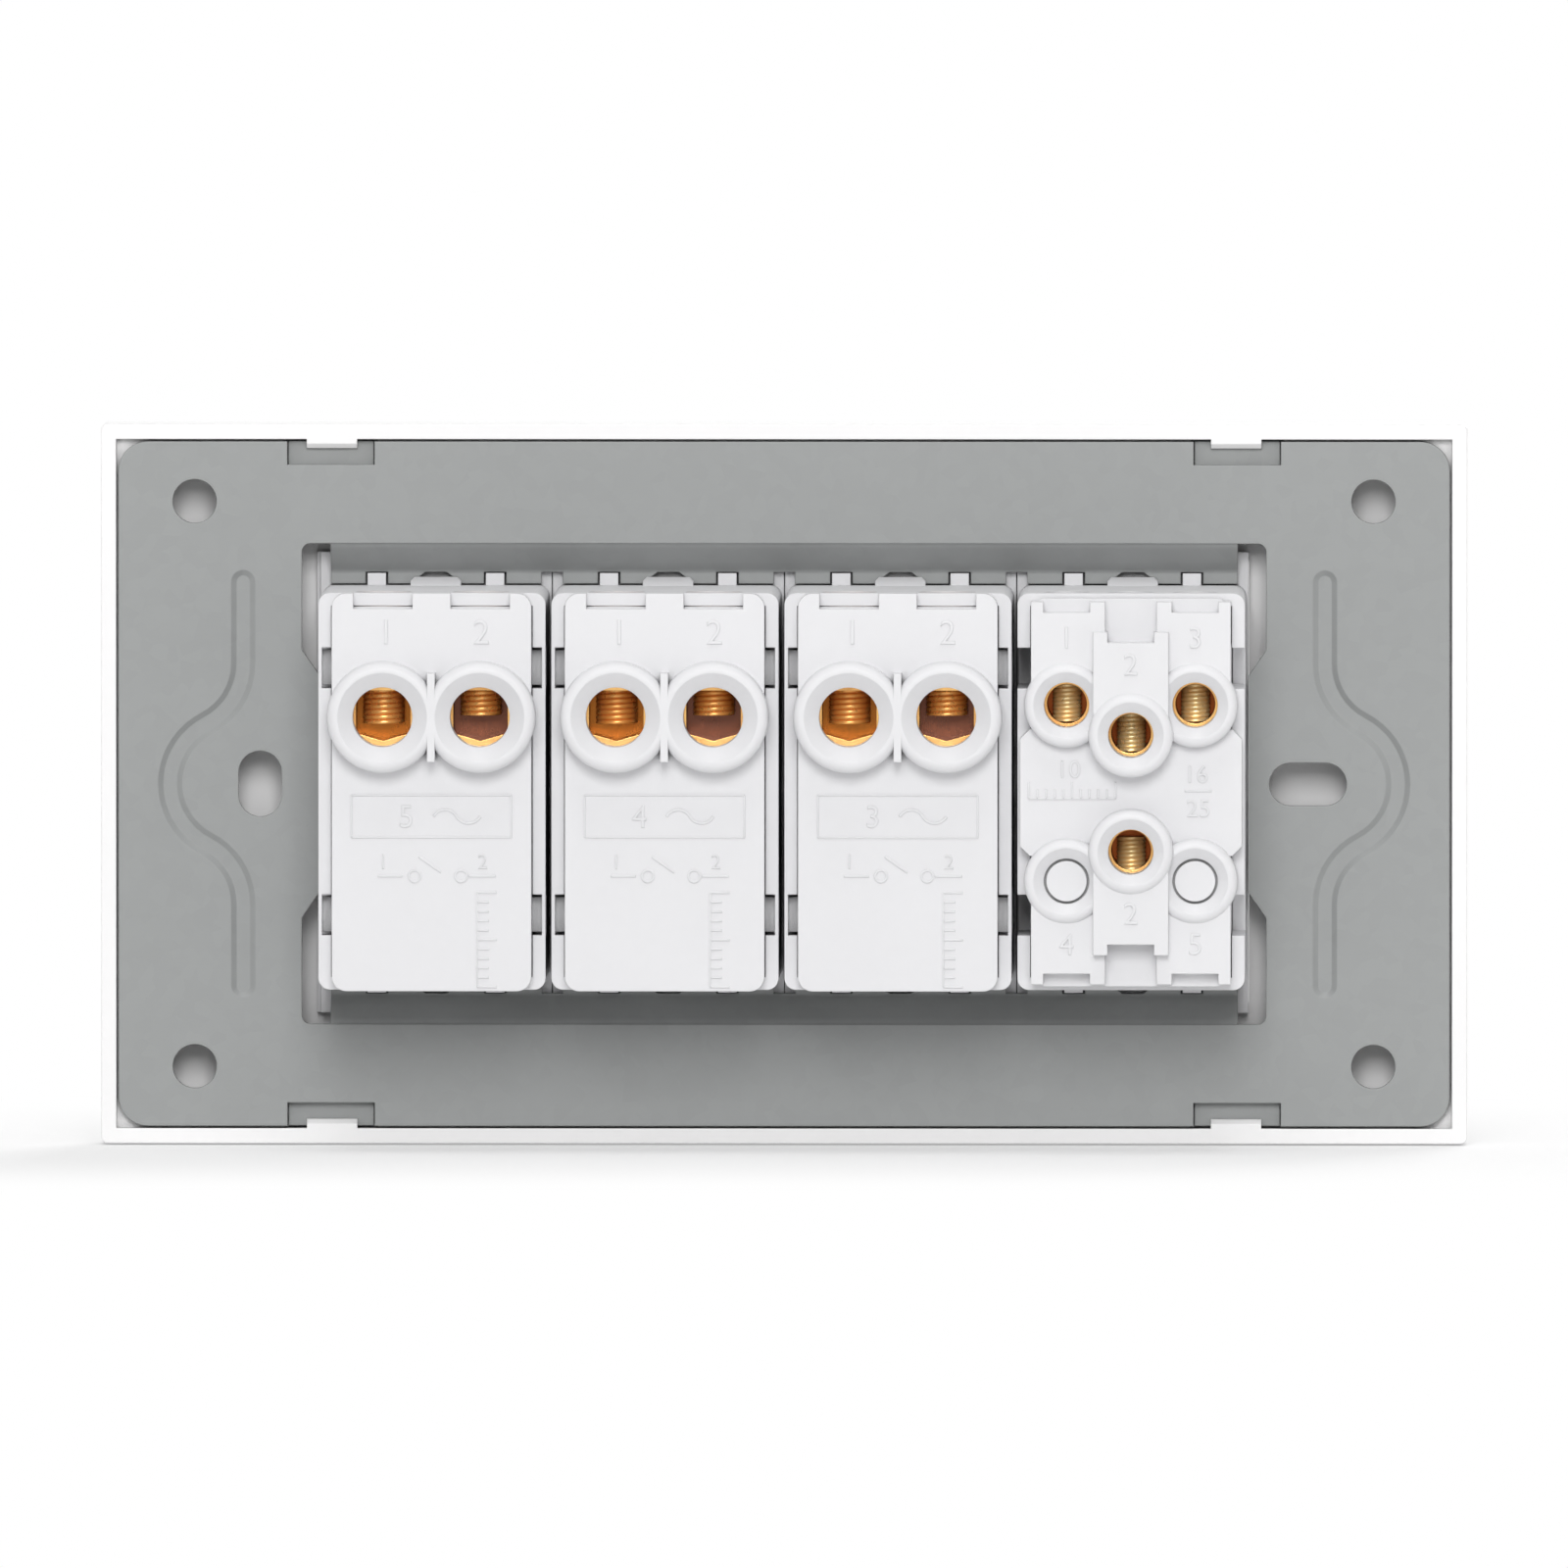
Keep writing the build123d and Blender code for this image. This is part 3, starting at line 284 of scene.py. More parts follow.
class Shade:
    """A socket of a node tree. Sums and products of such values add the Math nodes for them."""

    def __init__(self, tree, socket=None):
        self.tree = tree
        self.socket = socket

    def add(self, kind, settings=None, inputs=None, output=0):
        """Adds a node: its settings first, then the values or links of its sockets."""
        node = self.tree.nodes.new("ShaderNode" + kind)
        for name, value in (settings or {}).items():
            if name == "stops":
                self.set_stops(node.color_ramp, value)
            else:
                setattr(node, name, value)
        for name, value in (inputs or {}).items():
            if isinstance(value, Shade):
                self.tree.links.new(value.socket, node.inputs[name])
            else:
                node.inputs[name].default_value = value
        return Shade(self.tree, node.outputs[output])

    def output(self, name):
        """Another output of the same node."""
        return Shade(self.tree, self.socket.node.outputs[name])

    @staticmethod
    def set_stops(ramp, stops):
        while len(ramp.elements) < len(stops):
            ramp.elements.new(1.0)
        for element, (place, level) in zip(ramp.elements, stops):
            element.position = place
            element.color = (level, level, level, 1)

    def math(self, operation, *values):
        return self.add("Math", {"operation": operation}, dict(enumerate(values)))

    def __add__(self, other):
        return self.math("ADD", self, other)

    def __radd__(self, other):
        return self.math("ADD", other, self)

    def __sub__(self, other):
        return self.math("SUBTRACT", self, other)

    def __rsub__(self, other):
        return self.math("SUBTRACT", other, self)

    def __mul__(self, other):
        return self.math("MULTIPLY", self, other)

    def __rmul__(self, other):
        return self.math("MULTIPLY", other, self)

    def __truediv__(self, other):
        return self.math("DIVIDE", self, other)

    def __rtruediv__(self, other):
        return self.math("DIVIDE", other, self)

    def limit(self):
        return self.add("Clamp", None, {0: self})

    def ramp(self, *stops):
        return self.add("ValToRGB", {"stops": stops}, {0: self})

    def blend(self, first, second):
        """Colour between first and second by this value."""
        return self.add("Mix", {"data_type": "RGBA"}, {0: self, 6: first, 7: second}, 2)


def new_finish(name):
    """Empty material, its tree and its shader node."""
    finish = bpy.data.materials.new(name)
    finish.use_nodes = True
    tree = finish.node_tree
    shader = tree.nodes["Principled BSDF"]
    return finish, Shade(tree), shader


def set_shader(tree, shader, **values):
    for name, value in values.items():
        socket = shader.inputs[name.replace("_", " ")]
        if isinstance(value, Shade):
            tree.tree.links.new(value.socket, socket)
        else:
            socket.default_value = value


def grain(tree, place, scale, detail, roughness=0.55):
    """Noise whose features repeat about scale times a metre."""
    return tree.add(
        "TexNoise", None, {"Vector": place, "Scale": scale, "Detail": detail, "Roughness": roughness}
    )


def object_place(tree, stretch=(1, 1, 1)):
    place = tree.add("TexCoord", None, None, "Object")
    return tree.add("Mapping", None, {"Vector": place, "Scale": stretch})


def soft_edges(tree, radius):
    return tree.add("Bevel", {"samples": 6}, {"Radius": radius})


def raised_skin(tree, height, strength, distance, edge):
    """Normal of a finely raised surface with softly rounded edges."""
    return tree.add(
        "Bump",
        None,
        {"Strength": strength, "Distance": distance, "Height": height, "Normal": soft_edges(tree, edge)},
    )


def tint(colour, factor):
    return tuple(min(1.0, c * factor) for c in colour) + (1.0,)


def painted_gap_shade(tree, colours):
    """Colours darkened by painted shade in narrow gaps, as between two modules."""
    open_air = tree.add("AmbientOcclusion", {"samples": 8}, {"Distance": GAP_REACH}, "AO")
    return open_air.ramp((0.06, 0.0), (0.28, 1.0)).blend(PAINTED_GAP_SHADE, colours)


def moulded(name, colour, rough, texture, edge, mottle):
    """Moulded plastic: cloudy flow marks, a fine spark-eroded skin and slightly rounded edges."""
    finish, tree, shader = new_finish(name)
    place = object_place(tree)
    flow = grain(tree, place, scale=55, detail=4.0)
    specks = grain(tree, place, scale=900, detail=2.0)
    skin = grain(tree, place, scale=5200, detail=2.0, roughness=0.6)
    cloud = (flow * 0.75 + specks * 0.25).limit()
    colours = cloud.ramp((0.3, 0.0), (0.7, 1.0)).blend(tint(colour, 1 - mottle), tint(colour, 1.0))
    set_shader(
        tree,
        shader,
        # Base colour with painted shade in narrow gaps
        Base_Color=painted_gap_shade(tree, colours),
        Roughness=rough + (flow - 0.5) * 0.14 + (skin - 0.5) * 0.08,
        IOR=1.49,
        Normal=raised_skin(tree, skin, strength=texture, distance=0.00004, edge=edge),
    )
    return finish


def rolled_zinc(name, colour):
    """Zinc-plated steel sheet: cloudy passivation, faint rolling lines along X and a matt bloom."""
    finish, tree, shader = new_finish(name)
    place = object_place(tree)
    along = object_place(tree, (0.06, 1, 1))
    bloom = grain(tree, place, scale=80, detail=5.0, roughness=0.6)
    spangle = tree.add("TexVoronoi", {"feature": "F1"}, {"Vector": place, "Scale": 700}, "Color")
    flake = tree.add("SeparateColor", None, {0: spangle}, 0)
    lines = grain(tree, along, scale=2600, detail=3.0, roughness=0.6)
    cover = (bloom * 0.55 + lines * 0.25 + flake * 0.2).ramp((0.25, 0.0), (0.75, 1.0))
    relief = lines * 0.7 + flake * 0.3
    set_shader(
        tree,
        shader,
        # Base colour with painted shade in narrow gaps
        Base_Color=painted_gap_shade(tree, cover.blend(tint(colour, 0.95), tint(colour, 1.04))),
        Metallic=0.2,
        Roughness=0.56 + (bloom - 0.5) * 0.2 + (lines - 0.5) * 0.1,
        Normal=raised_skin(tree, relief, strength=0.18, distance=0.00003, edge=0.00018),
    )
    return finish


def plated(name, colour, dull, rough, streak=(1, 1, 1), edge=0.0001, deep_shade=None, metal=1.0):
    """Bright metal with drawing lines, slight tarnish and worn, rounded edges. Where a colour of painted
    shade is given, the metal turns to it deep in the terminals."""
    finish, tree, shader = new_finish(name)
    place = object_place(tree)
    drawn = grain(tree, object_place(tree, streak), scale=3200, detail=3.0, roughness=0.6)
    tarnish = grain(tree, place, scale=260, detail=4.0, roughness=0.6).ramp((0.35, 0.0), (0.75, 1.0))
    colours = tarnish.blend(colour + (1.0,), dull + (1.0,))
    if deep_shade:
        # Painted shade deep in a terminal, fading out towards its mouth
        y = tree.add("SeparateXYZ", None, {0: place}, 1)
        unshaded = ((y - TERMINAL_Y[0]) / (TERMINAL_Y[1] - TERMINAL_Y[0])).limit()
        colours = unshaded.blend(deep_shade + (1.0,), colours)
    set_shader(
        tree,
        shader,
        Base_Color=colours,
        Metallic=metal,
        Roughness=rough + tarnish * 0.12 + (drawn - 0.5) * 0.1,
        Normal=raised_skin(tree, drawn, strength=0.12, distance=0.00002, edge=edge),
    )
    return finish


def drawn_brass(name, deep_shade):
    """Brass of a lever, or of a terminal's cage, which has painted shade deep inside and none at its mouth.
    """
    return plated(
        name, (0.95, 0.57, 0.21), (0.66, 0.31, 0.1), rough=0.2, streak=(1, 1, 0.06), deep_shade=deep_shade
    )


def screw_plating(name, colour, dull, metal):
    """Plating of a screw, whose edges stay crisp for the thread's sake."""
    return plated(name, colour, dull, rough=0.25, edge=0.00001, metal=metal)


FINISHES = {
    **{name: moulded(name, *look) for name, look in PLASTICS.items()},
    **{name: drawn_brass(name, deep_shade) for name, deep_shade in BRASS_DEEP_SHADE.items()},
    **{name: screw_plating(name, *look) for name, look in SCREW_PLATING.items()},
    "zinc_steel": rolled_zinc("zinc_steel", (0.292, 0.3, 0.298)),
    "silver": plated("silver", (0.88, 0.87, 0.84), (0.7, 0.68, 0.64), rough=0.2),
    "spring_steel": plated("spring_steel", (0.56, 0.56, 0.55), (0.42, 0.42, 0.41), rough=0.28),
}


def joined(target, shape, place):
    """Merges a finished shape, turns its faces outwards and adds it to target at its place, in metres."""
    bmesh.ops.remove_doubles(shape, verts=shape.verts, dist=MERGE)
    bmesh.ops.recalc_face_normals(shape, faces=shape.faces)
    bmesh.ops.transform(shape, matrix=Matrix.Scale(MM, 4) @ place, verts=shape.verts)
    mesh = bpy.data.meshes.new("shape")
    shape.to_mesh(mesh)
    shape.free()
    target.from_mesh(mesh)
    bpy.data.meshes.remove(mesh)


def piece(name, target, slot, body, finish=None):
    """Finished piece that rides on a body, with the finish of its slot or another one."""
    mesh = bpy.data.meshes.new(name)
    target.to_mesh(mesh)
    target.free()
    mesh.materials.append(FINISHES[finish or slot])
    mesh.shade_smooth()
    mesh.set_sharp_from_angle(angle=SHARP_TURN)
    made = bpy.data.objects.new(name, mesh)
    bpy.context.scene.collection.objects.link(made)
    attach(made, body)
    return made


def cylinder(radius, length, steps, place):
    """Solid cylinder along Z about the origin, put in its place."""
    shape = bmesh.new()
    bmesh.ops.create_cone(
        shape, cap_ends=True, segments=steps, radius1=radius, radius2=radius, depth=length, matrix=place
    )
    return shape


def round_off(shape, edges, size, steps=2):
    bmesh.ops.bevel(
        shape, geom=edges, offset=size, segments=steps, profile=0.5, affect="EDGES", material=-1
    )


def cut_off(shape, point, way, near=0.0):
    """Cuts away what lies beyond a plane, on the side that way points to."""
    everything = shape.verts[:] + shape.edges[:] + shape.faces[:]
    bmesh.ops.bisect_plane(
        shape, geom=everything, dist=near, plane_co=point, plane_no=way, clear_outer=True
    )


def close_ends(shape):
    bmesh.ops.holes_fill(shape, edges=[edge for edge in shape.edges if edge.is_boundary])


def threaded_shank(radius, pitch, low, high):
    """Shank along Z with a real helical thread, cut flat at both ends."""
    shape = bmesh.new()
    root = radius - THREAD_DEPTH * pitch
    corners = []
    for along, rise in TOOTH:
        z = low + (along - SPARE_TURNS / 2) * pitch
        corners.append(shape.verts.new((root + (radius - root) * rise, 0, z)))
    sides = [shape.edges.new(pair) for pair in zip(corners, corners[1:])]
    turns = ceil((high - low) / pitch) + SPARE_TURNS
    bmesh.ops.spin(
        shape,
        geom=corners + sides,
        axis=(0, 0, 1),
        dvec=(0, 0, pitch / THREAD_STEPS),
        angle=2 * pi * turns,
        steps=THREAD_STEPS * turns,
    )
    bmesh.ops.remove_doubles(shape, verts=shape.verts, dist=MERGE)
    for z, way in ((low, -1), (high, 1)):
        cut_off(shape, (0, 0, z), (0, 0, way), near=MERGE / 4)
    close_ends(shape)
    return shape


def head_half(radius, low, high, slot, side):
    """Half of a slotted head above the slot's floor, on one side of the slot."""
    shape = cylinder(radius, high - low, HEAD_STEPS, Matrix.Translation((0, 0, (low + high) / 2)))
    cut_off(shape, (0, side * slot / 2, 0), (0, -side, 0))
    close_ends(shape)
    rim = [edge for edge in shape.edges if all(v.co.z > high - NEAR for v in edge.verts)]
    round_off(shape, rim, HEAD_TOP_EDGE)
    return shape


def head_base(radius, low, high):
    """Lower part of a screw head, with a rounded underside."""
    shape = cylinder(radius, high - low, HEAD_STEPS, Matrix.Translation((0, 0, (low + high) / 2)))
    rim = [edge for edge in shape.edges if all(v.co.z < low + NEAR for v in edge.verts)]
    round_off(shape, rim, HEAD_FOOT_EDGE)
    return shape


def add_screw(target, place, tip, seat, thread):
    """Slotted terminal screw with a threaded shank, its head upwards along Z."""
    middle = seat + thread["head_h"] / 2
    top = seat + thread["head_h"]
    joined(target, threaded_shank(thread["radius"], thread["pitch"], tip, seat + NECK), place)
    joined(target, head_base(thread["head_r"], seat, middle), place)
    for side in (1, -1):
        joined(target, head_half(thread["head_r"], middle, top, thread["slot"], side), place)


def single_screws(gang):
    target = bmesh.new()
    for x, tip, seat in SINGLE_SCREWS:
        place = Matrix.Translation((MODULE_X[gang] + x, SCREW_Y, 0))
        add_screw(target, place, tip, seat, SINGLE_THREAD)
    made = piece(f"threaded_screws_{gang}", target, "screw_steel", "base")
    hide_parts(f"terminal_screws_{gang}")


def twin_screws():
    target = bmesh.new()
    for x, tip, seat, way in TWIN_SCREWS:
        place = Matrix.Translation((MODULE_X["twin"] + x, SCREW_Y, 0))
        if way < 0:
            place = place @ Matrix.Rotation(pi, 4, "Y")
        add_screw(target, place, tip, seat, TWIN_THREAD)
    made = piece("threaded_screws_twin", target, "screw_steel", "base", "gold_screw")
    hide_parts("terminal_screws_twin")


def on_stop():
    """Turn of a level rocker about its pins onto its stop."""
    about = Matrix.Translation((0, PIVOT_Y, 0))
    return about @ Matrix.Rotation(radians(-TILT), 4, "X") @ about.inverted()


def prism(section, low, high):
    """Solid with a section in Y and Z, between two places along X."""
    shape = bmesh.new()
    face = shape.faces.new([shape.verts.new((low, y, z)) for y, z in section])
    pulled = bmesh.ops.extrude_face_region(shape, geom=[face], use_keep_orig=True)["geom"]
    moved = [part for part in pulled if isinstance(part, bmesh.types.BMVert)]
    bmesh.ops.translate(shape, vec=(high - low, 0, 0), verts=moved)
    bmesh.ops.recalc_face_normals(shape, faces=shape.faces)
    return shape


def rocker_shell(width):
    """Crowned shell with rounded front edges and a pocket behind."""
    tall = ROCKER_HALF - ROCKER_DRAFT
    section = []
    for step in range(CROWN_STEPS + 1):
        z = tall * (1 - 2 * step / CROWN_STEPS)
        section.append((ROCKER_FRONT - ROCKER_CROWN * (1 - (z / tall) ** 2), z))
    section += [(ROCKER_END, -ROCKER_HALF), (ROCKER_SEAT, 0), (ROCKER_END, ROCKER_HALF)]
    shape = prism(section, -width / 2, width / 2)

    def on_rim(edge):
        a, b = (v.co for v in edge.verts)
        in_front = max(a.y, b.y) < ROCKER_FRONT + NEAR
        at_end = min(abs(a.z), abs(b.z)) > tall - NEAR
        return in_front and (at_end or abs(a.x - b.x) < NEAR)

    round_off(shape, [edge for edge in shape.edges if on_rim(edge)], ROCKER_EDGE, EDGE_STEPS)
    back = [face for face in shape.faces if all(v.co.y > ROCKER_END - NEAR for v in face.verts)]
    bmesh.ops.inset_region(shape, faces=back, thickness=ROCKER_WALL, use_even_offset=True)
    slope = (ROCKER_END - ROCKER_SEAT) / ROCKER_HALF
    reach = tall - ROCKER_WALL
    for v in {v for face in back for v in face.verts}:
        if abs(v.co.z) > ROCKER_WALL:
            v.co.z = reach if v.co.z > 0 else -reach
        v.co.y = ROCKER_SEAT + slope * abs(v.co.z)
    pocket = bmesh.ops.extrude_face_region(shape, geom=back)["geom"]
    bmesh.ops.delete(shape, geom=back, context="FACES_ONLY")
    for part in pocket:
        if isinstance(part, bmesh.types.BMVert):
            part.co.y = ROCKER_INSIDE
    return shape


def rocker_leg(low, high):
    """Leg with a round end about the pins."""
    root = STEM_Y[0]
    turns = [pi * (step / LEG_STEPS - 0.5) for step in range(LEG_STEPS + 1)]
    section = [(PIVOT_Y + LEG_R * cos(a), LEG_R * sin(a)) for a in turns]
    return prism(section + [(root, LEG_R), (root, -LEG_R)], low, high)


def rocker_pin(low, high):
    """Pin along X, which starts in the middle of its leg."""
    place = Matrix.Translation(((low + high) / 2, PIVOT_Y, 0)) @ Matrix.Rotation(pi / 2, 4, "Y")
    return cylinder(PIN_R, high - low, PIN_STEPS, place)


def rocker_stem():
    """Tube along Y that guides the plunger, closed at its front end."""
    shape = bmesh.new()
    root, floor, rear = STEM_Y
    section = [
        (0, root),
        (STEM_R, root),
        (STEM_R, rear),
        (STEM_BORE, rear),
        (STEM_BORE, floor),
        (0, floor),
    ]
    corners = [shape.verts.new((r, y, 0)) for r, y in section]
    sides = [shape.edges.new(pair) for pair in zip(corners, corners[1:])]
    bmesh.ops.spin(
        shape, geom=corners + sides, axis=(0, 1, 0), angle=2 * pi, steps=STEM_STEPS, use_merge=True
    )
    return shape


def moulded_rocker(gang):
    """Rocker of one gang: shell, legs with pins, and stem. The rocker of gang 1 mirrors that of gang 2."""
    target = bmesh.new()
    twin = gang in TWIN_GANGS
    way = -1 if gang == "1" else 1
    place = Matrix.Translation((GANG_X[gang], 0, 0)) @ on_stop()
    joined(target, rocker_shell(TWIN_ROCKER_W if twin else ROCKER_W), place)
    for inner, tip in TWIN_LEGS if twin else SINGLE_LEGS:
        outer = inner + copysign(LEG_T, tip)
        middle = (inner + outer) / 2
        joined(target, rocker_leg(*sorted((way * inner, way * outer))), place)
        joined(target, rocker_pin(*sorted((way * middle, way * tip))), place)
    joined(target, rocker_stem(), place)
    made = piece(f"moulded_rocker_{gang}", target, "rocker_white", f"gang_{gang}_rocker")
    made.modifiers.new("flat_faces", "WEIGHTED_NORMAL").keep_sharp = True
    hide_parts(f"rocker_{gang}")


def round_coil():
    """Coil of round wire along Z, from 0 up to its length, with closed ends."""
    shape = bmesh.new()
    rise = COIL_Y[1] - COIL_Y[0] - COIL_WIRE
    start = Matrix.Translation((COIL_R, 0, COIL_WIRE / 2)) @ Matrix.Rotation(pi / 2, 4, "X")
    ring = bmesh.ops.create_circle(shape, segments=WIRE_STEPS, radius=COIL_WIRE / 2, matrix=start)
    bmesh.ops.spin(
        shape,
        geom=ring["verts"] + shape.edges[:],
        axis=(0, 0, 1),
        dvec=(0, 0, rise / (COIL_TURNS * COIL_STEPS)),
        angle=2 * pi * COIL_TURNS,
        steps=COIL_TURNS * COIL_STEPS,
    )
    close_ends(shape)
    return shape


def plunger_spring(gang):
    """Round-wire spring in the stem of a rocker."""
    target = bmesh.new()
    upright = Matrix.Translation((0, COIL_Y[0], 0)) @ Matrix.Rotation(-pi / 2, 4, "X")
    turned = on_stop()
    joined(target, round_coil(), Matrix.Translation((GANG_X[gang], 0, 0)) @ turned @ upright)
    made = piece(f"coil_{gang}", target, "spring_steel", f"gang_{gang}_rocker")
    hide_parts(f"plunger_spring_{gang}")
    foot = (turned @ Vector((0, COIL_Y[0], 0))) * MM
    anchor = (GANG_X[gang] * MM, foot.y, foot.z)
    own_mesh(made)


class MarkedFace:
    """Raised marks on a rear face: u to the viewer's right, v up and w out of the face."""

    def __init__(self, x, rear):
        turn = Matrix(((-1, 0, 0, 0), (0, 0, 1, 0), (0, 1, 0, 0), (0, 0, 0, 1)))
        self.place = Matrix.Translation((x, rear, 0)) @ turn
        self.target = bmesh.new()

    def put(self, shape, u, v, turn=0.0):
        spot = Matrix.Translation((u, v, 0)) @ Matrix.Rotation(turn, 4, "Z")
        joined(self.target, shape, self.place @ spot)

    def bar(self, first, last, width):
        """Straight stroke between two points, with softened edges."""
        run = (last[0] - first[0], last[1] - first[1])
        shape = bmesh.new()
        bmesh.ops.create_cube(shape, size=1.0)
        bmesh.ops.scale(shape, vec=(hypot(*run), width, MARK_H * 2), verts=shape.verts)
        round_off(shape, [e for e in shape.edges if all(v.co.z > 0 for v in e.verts)], MARK_EDGE)
        middle = ((first[0] + last[0]) / 2, (first[1] + last[1]) / 2)
        self.put(shape, *middle, atan2(run[1], run[0]))

    def ring(self, u, v, radius, width, start=0.0, sweep=2 * pi):
        """Ring or arc stroke about a point."""
        shape = bmesh.new()
        edge = MARK_EDGE
        half = width / 2
        section = [
            (-half, -MARK_H),
            (half, -MARK_H),
            (half, MARK_H - edge),
            (half - edge, MARK_H),
            (edge - half, MARK_H),
            (-half, MARK_H - edge),
        ]
        corners = [shape.verts.new((radius + r, 0, w)) for r, w in section]
        sides = [shape.edges.new((a, b)) for a, b in zip(corners, corners[1:] + corners[:1])]
        bmesh.ops.rotate(shape, verts=corners, cent=(0, 0, 0), matrix=Matrix.Rotation(start, 3, "Z"))
        whole = abs(sweep) > 2 * pi - NEAR
        bmesh.ops.spin(
            shape, geom=corners + sides, axis=(0, 0, 1), angle=sweep, steps=RING_STEPS, use_merge=whole
        )
        if not whole:
            close_ends(shape)
        self.put(shape, u, v)

    def number(self, digits, u, v, height):
        """Plain number, its middle at the point. It is drawn one unit thick and then sized."""
        words = bpy.data.curves.new("digits", "FONT")
        words.body = digits
        words.extrude = 0.5
        words.align_x = "CENTER"
        drawn = bpy.data.objects.new("digits", words)
        mesh = bpy.data.meshes.new_from_object(drawn)
        shape = bmesh.new()
        shape.from_mesh(mesh)
        bpy.data.objects.remove(drawn)
        bpy.data.curves.remove(words)
        bpy.data.meshes.remove(mesh)
        across = [corner.co.x for corner in shape.verts]
        up = [corner.co.y for corner in shape.verts]
        middle = ((min(across) + max(across)) / 2, (min(up) + max(up)) / 2)
        bmesh.ops.translate(shape, vec=(-middle[0], -middle[1], 0), verts=shape.verts)
        grow = height / (max(up) - min(up))
        bmesh.ops.scale(shape, vec=(grow, grow, MARK_H * 2), verts=shape.verts)
        self.put(shape, u, v)

    def wave(self, u, v, half_width, width):
        """Sign for alternating current: one arch and one hollow."""
        radius = half_width / 2 / cos(WAVE_LEAN)
        drop = radius * sin(WAVE_LEAN)
        sweep = pi - 2 * WAVE_LEAN
        self.ring(u - half_width / 2, v - drop, radius, width, WAVE_LEAN, sweep)
        self.ring(u + half_width / 2, v + drop, radius, width, pi + WAVE_LEAN, sweep)

    def gauge(self, ends, ticks, width):
        """Line with equal steps, which has long ticks at its ends and its middle and short ones between."""
        self.bar(*ends, width)
        first, last = (Vector(end) for end in ends)
        long_tick, short_tick = (Vector(tick) for tick in ticks)
        for step in range(GAUGE_STEPS + 1):
            foot = first.lerp(last, step / GAUGE_STEPS)
            self.bar(foot, foot + (short_tick if step % LONG_TICK_EVERY else long_tick), width)

    def make_piece(self, name):
        piece(name, self.target, "module_white", "base")


def single_marks(gang):
    """Marks on a single module: terminal numbers, a bordered panel, the contact sign and a strip gauge."""
    face = MarkedFace(MODULE_X[gang], SINGLE_REAR)
    for digits, u in TERMINAL_NUMBERS:
        face.number(digits, u, TERMINAL_NUMBER_V, TERMINAL_NUMBER_H)

    left, right = PANEL_U
    low, high = PANEL_V
    for v in (high, low):
        face.bar((left, v), (right, v), PANEL_LINE)
    for u in (left, right):
        face.bar((u, low), (u, high), PANEL_LINE)
    face.number(gang, PANEL_NUMBER_U, (low + high) / 2, PANEL_NUMBER_H)
    face.wave(PANEL_WAVE_U, (low + high) / 2, PANEL_WAVE_HALF, PANEL_WAVE_LINE)

    for start, end in CONTACT_LEAD_U:
        face.bar((start, CONTACT_V), (end, CONTACT_V), CONTACT_LINE)
    for u in CONTACT_RING_U:
        face.ring(u, CONTACT_V, CONTACT_RING_R, CONTACT_LINE)
    face.bar(*CONTACT_ARM, CONTACT_LINE)
    for digits, u in CONTACT_NUMBERS:
        face.number(digits, u, CONTACT_NUMBER_V, CONTACT_NUMBER_H)

    face.gauge(GAUGE_ENDS, GAUGE_TICKS, GAUGE_LINE)
    face.make_piece(f"marks_{gang}")


def twin_marks():
    """Marks on the twin module: terminal numbers, a strip gauge and a few plain numbers."""
    for digits, x, v, rear in TWIN_NUMBERS:
        face = MarkedFace(MODULE_X["twin"] + x, rear)
        face.number(digits, 0.0, v, TWIN_NUMBER_H)
        face.make_piece(f"marks_twin_{digits}_{'up' if v > 0 else 'low'}")
    face = MarkedFace(MODULE_X["twin"], TWIN_PLATE_REAR)
    face.gauge(TWIN_GAUGE_ENDS, TWIN_GAUGE_TICKS, TWIN_LINE)
    face.bar(*TWIN_BAR_ENDS, TWIN_LINE)
    for digits, u, v in TWIN_PLATE_NUMBERS:
        face.number(digits, u, v, TWIN_PLATE_NUMBER_H)
    face.make_piece("marks_twin_plate")


for gang in SINGLE_GANGS:
    single_screws(gang)
    single_marks(gang)
twin_screws()
twin_marks()
for gang in GANG_X:
    moulded_rocker(gang)
    plunger_spring(gang)

for name, node in frame["nodes"].items():
    slot = next(p["material_slot"] for p in frame["record"]["subparts"] if p["node"] == name)
    node.data.materials.clear()
    node.data.materials.append(FINISHES[BRASS_TONE.get(name, slot)])


def ray_of(tree, *kinds):
    """1 for a ray of any of the kinds, otherwise 0."""
    path = tree.add("LightPath")
    found = path.output(kinds[0])
    for kind in kinds[1:]:
        found = tree.math("MAXIMUM", found, path.output(kind))
    return found


def white_world(scene):
    """White to look at, and a dimmer light on matt surfaces."""
    world = bpy.data.worlds.new("studio")
    scene.world = world
    world.use_nodes = True
    seen = ray_of(Shade(world.node_tree), "Is Camera Ray", "Is Glossy Ray", "Is Transmission Ray")
    light = WORLD_LIGHT + seen * (1 - WORLD_LIGHT)
    backdrop = world.node_tree.nodes["Background"]
    backdrop.inputs["Color"].default_value = (1, 1, 1, 1)
    world.node_tree.links.new(light.socket, backdrop.inputs["Strength"])


def past(place, reach):
    """How far a place lies past a reach, on either side of the middle."""
    return place.math("MAXIMUM", place.math("ABSOLUTE", place) - reach, 0.0)


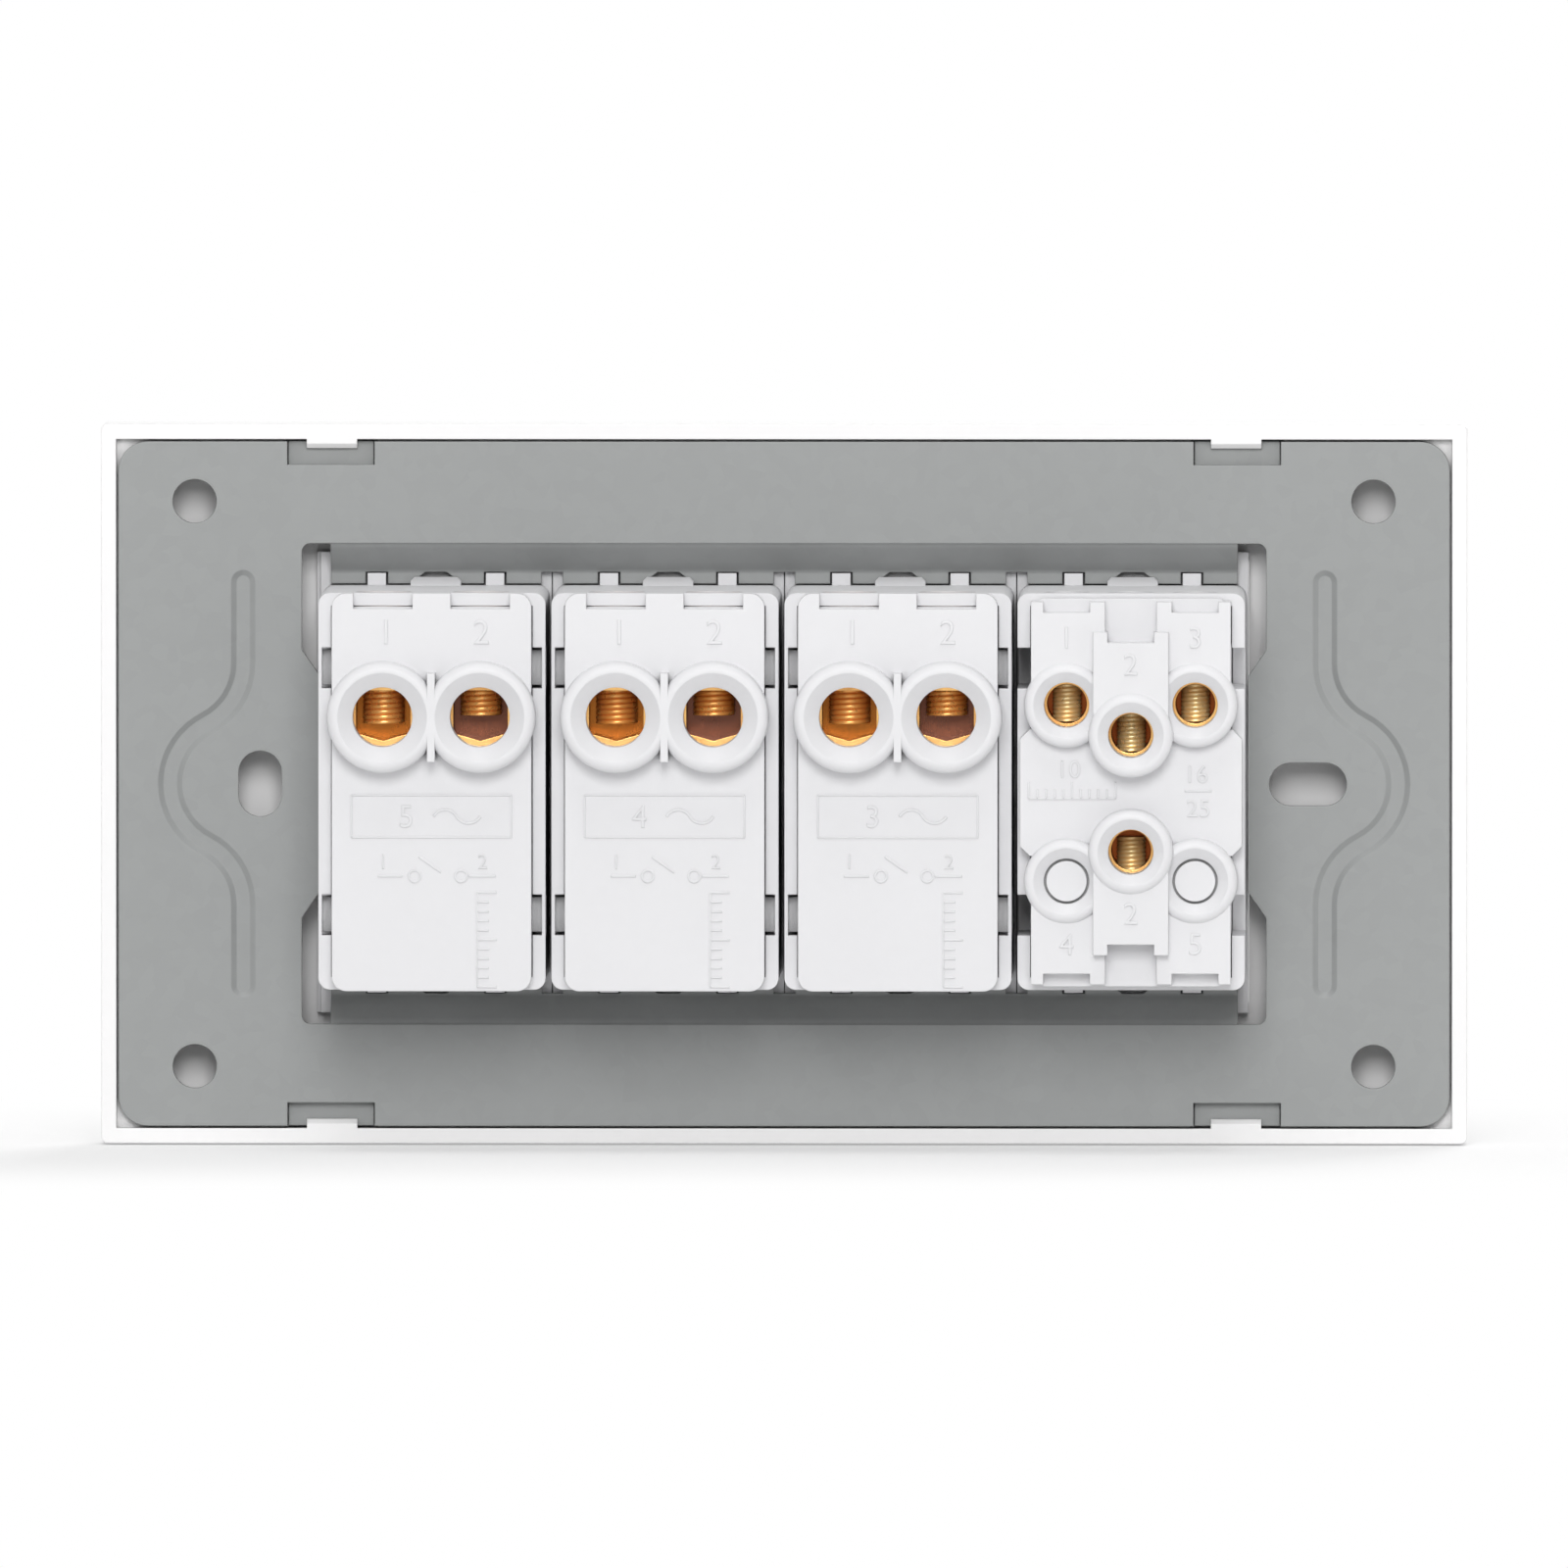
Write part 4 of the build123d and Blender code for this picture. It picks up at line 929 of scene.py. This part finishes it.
def pale_floor(scene):
    """Floor under the plate that keeps its shadow and turns white a little way off."""
    shape = bmesh.new()
    bmesh.ops.create_grid(shape, x_segments=1, y_segments=1, size=FLOOR_HALF)
    bmesh.ops.translate(shape, vec=(0, 0, CAD_BOX[0][2] - FLOOR_DROP), verts=shape.verts)
    mesh = bpy.data.meshes.new("floor")
    shape.to_mesh(mesh)
    shape.free()
    floor = bpy.data.objects.new("floor", mesh)
    scene.collection.objects.link(floor)
    finish, tree, matt = new_finish("pale_floor")
    mesh.materials.append(finish)
    set_shader(tree, matt, Base_Color=(0.9, 0.9, 0.9, 1), Roughness=0.9)
    place = tree.add("SeparateXYZ", None, {0: tree.add("NewGeometry", None, None, "Position")})
    side = past(place.output("X"), SHADOW_X)
    deep = past(place.output("Y"), SHADOW_Y)
    away = tree.math("SQRT", side * side + deep * deep)
    smooth = {"interpolation_type": "SMOOTHERSTEP"}
    fade = tree.add("MapRange", smooth, {"Value": away, "From Max": SHADOW_FADE})
    white = FLOOR_WHITE + (1 - FLOOR_WHITE) * fade
    white = white * ray_of(tree, "Is Camera Ray", "Is Glossy Ray")
    shaded = Shade(tree.tree, matt.outputs[0])
    surface = tree.add("MixShader", None, {0: white, 1: shaded, 2: tree.add("Emission")})
    tree.tree.links.new(surface.socket, tree.tree.nodes["Material Output"].inputs["Surface"])


def lamps(scene):
    for name, spot, size, power in LAMPS:
        lamp = bpy.data.lights.new(name, "AREA")
        lamp.size = size
        lamp.energy = power
        holder = bpy.data.objects.new(name, lamp)
        holder.location = spot
        holder.rotation_euler = (-Vector(spot)).to_track_quat("-Z", "Y").to_euler()
        scene.collection.objects.link(holder)


def rear_camera(scene):
    """Long lens far behind the wall plane, a little above the middle and to the viewer's right."""
    lens = bpy.data.cameras.new("camera")
    lens.sensor_width = CAMERA_SENSOR
    lens.lens = CAMERA_LENS
    lens.clip_end = CAMERA_FAR
    camera = bpy.data.objects.new("camera", lens)
    away = CAMERA_AWAY * cos(CAMERA_TILT)
    rise = CAMERA_AWAY * sin(CAMERA_TILT)
    camera.location = (-away * sin(CAMERA_TURN), away * cos(CAMERA_TURN), rise)
    camera.rotation_euler = (-camera.location).to_track_quat("-Z", "Y").to_euler()
    scene.collection.objects.link(camera)
    scene.camera = camera


def studio():
    """Pale floor, soft light and a camera that looks at the rear of the switch."""
    scene = bpy.context.scene
    scene.view_settings.view_transform = "Standard"
    white_world(scene)
    pale_floor(scene)
    lamps(scene)
    rear_camera(scene)


studio()
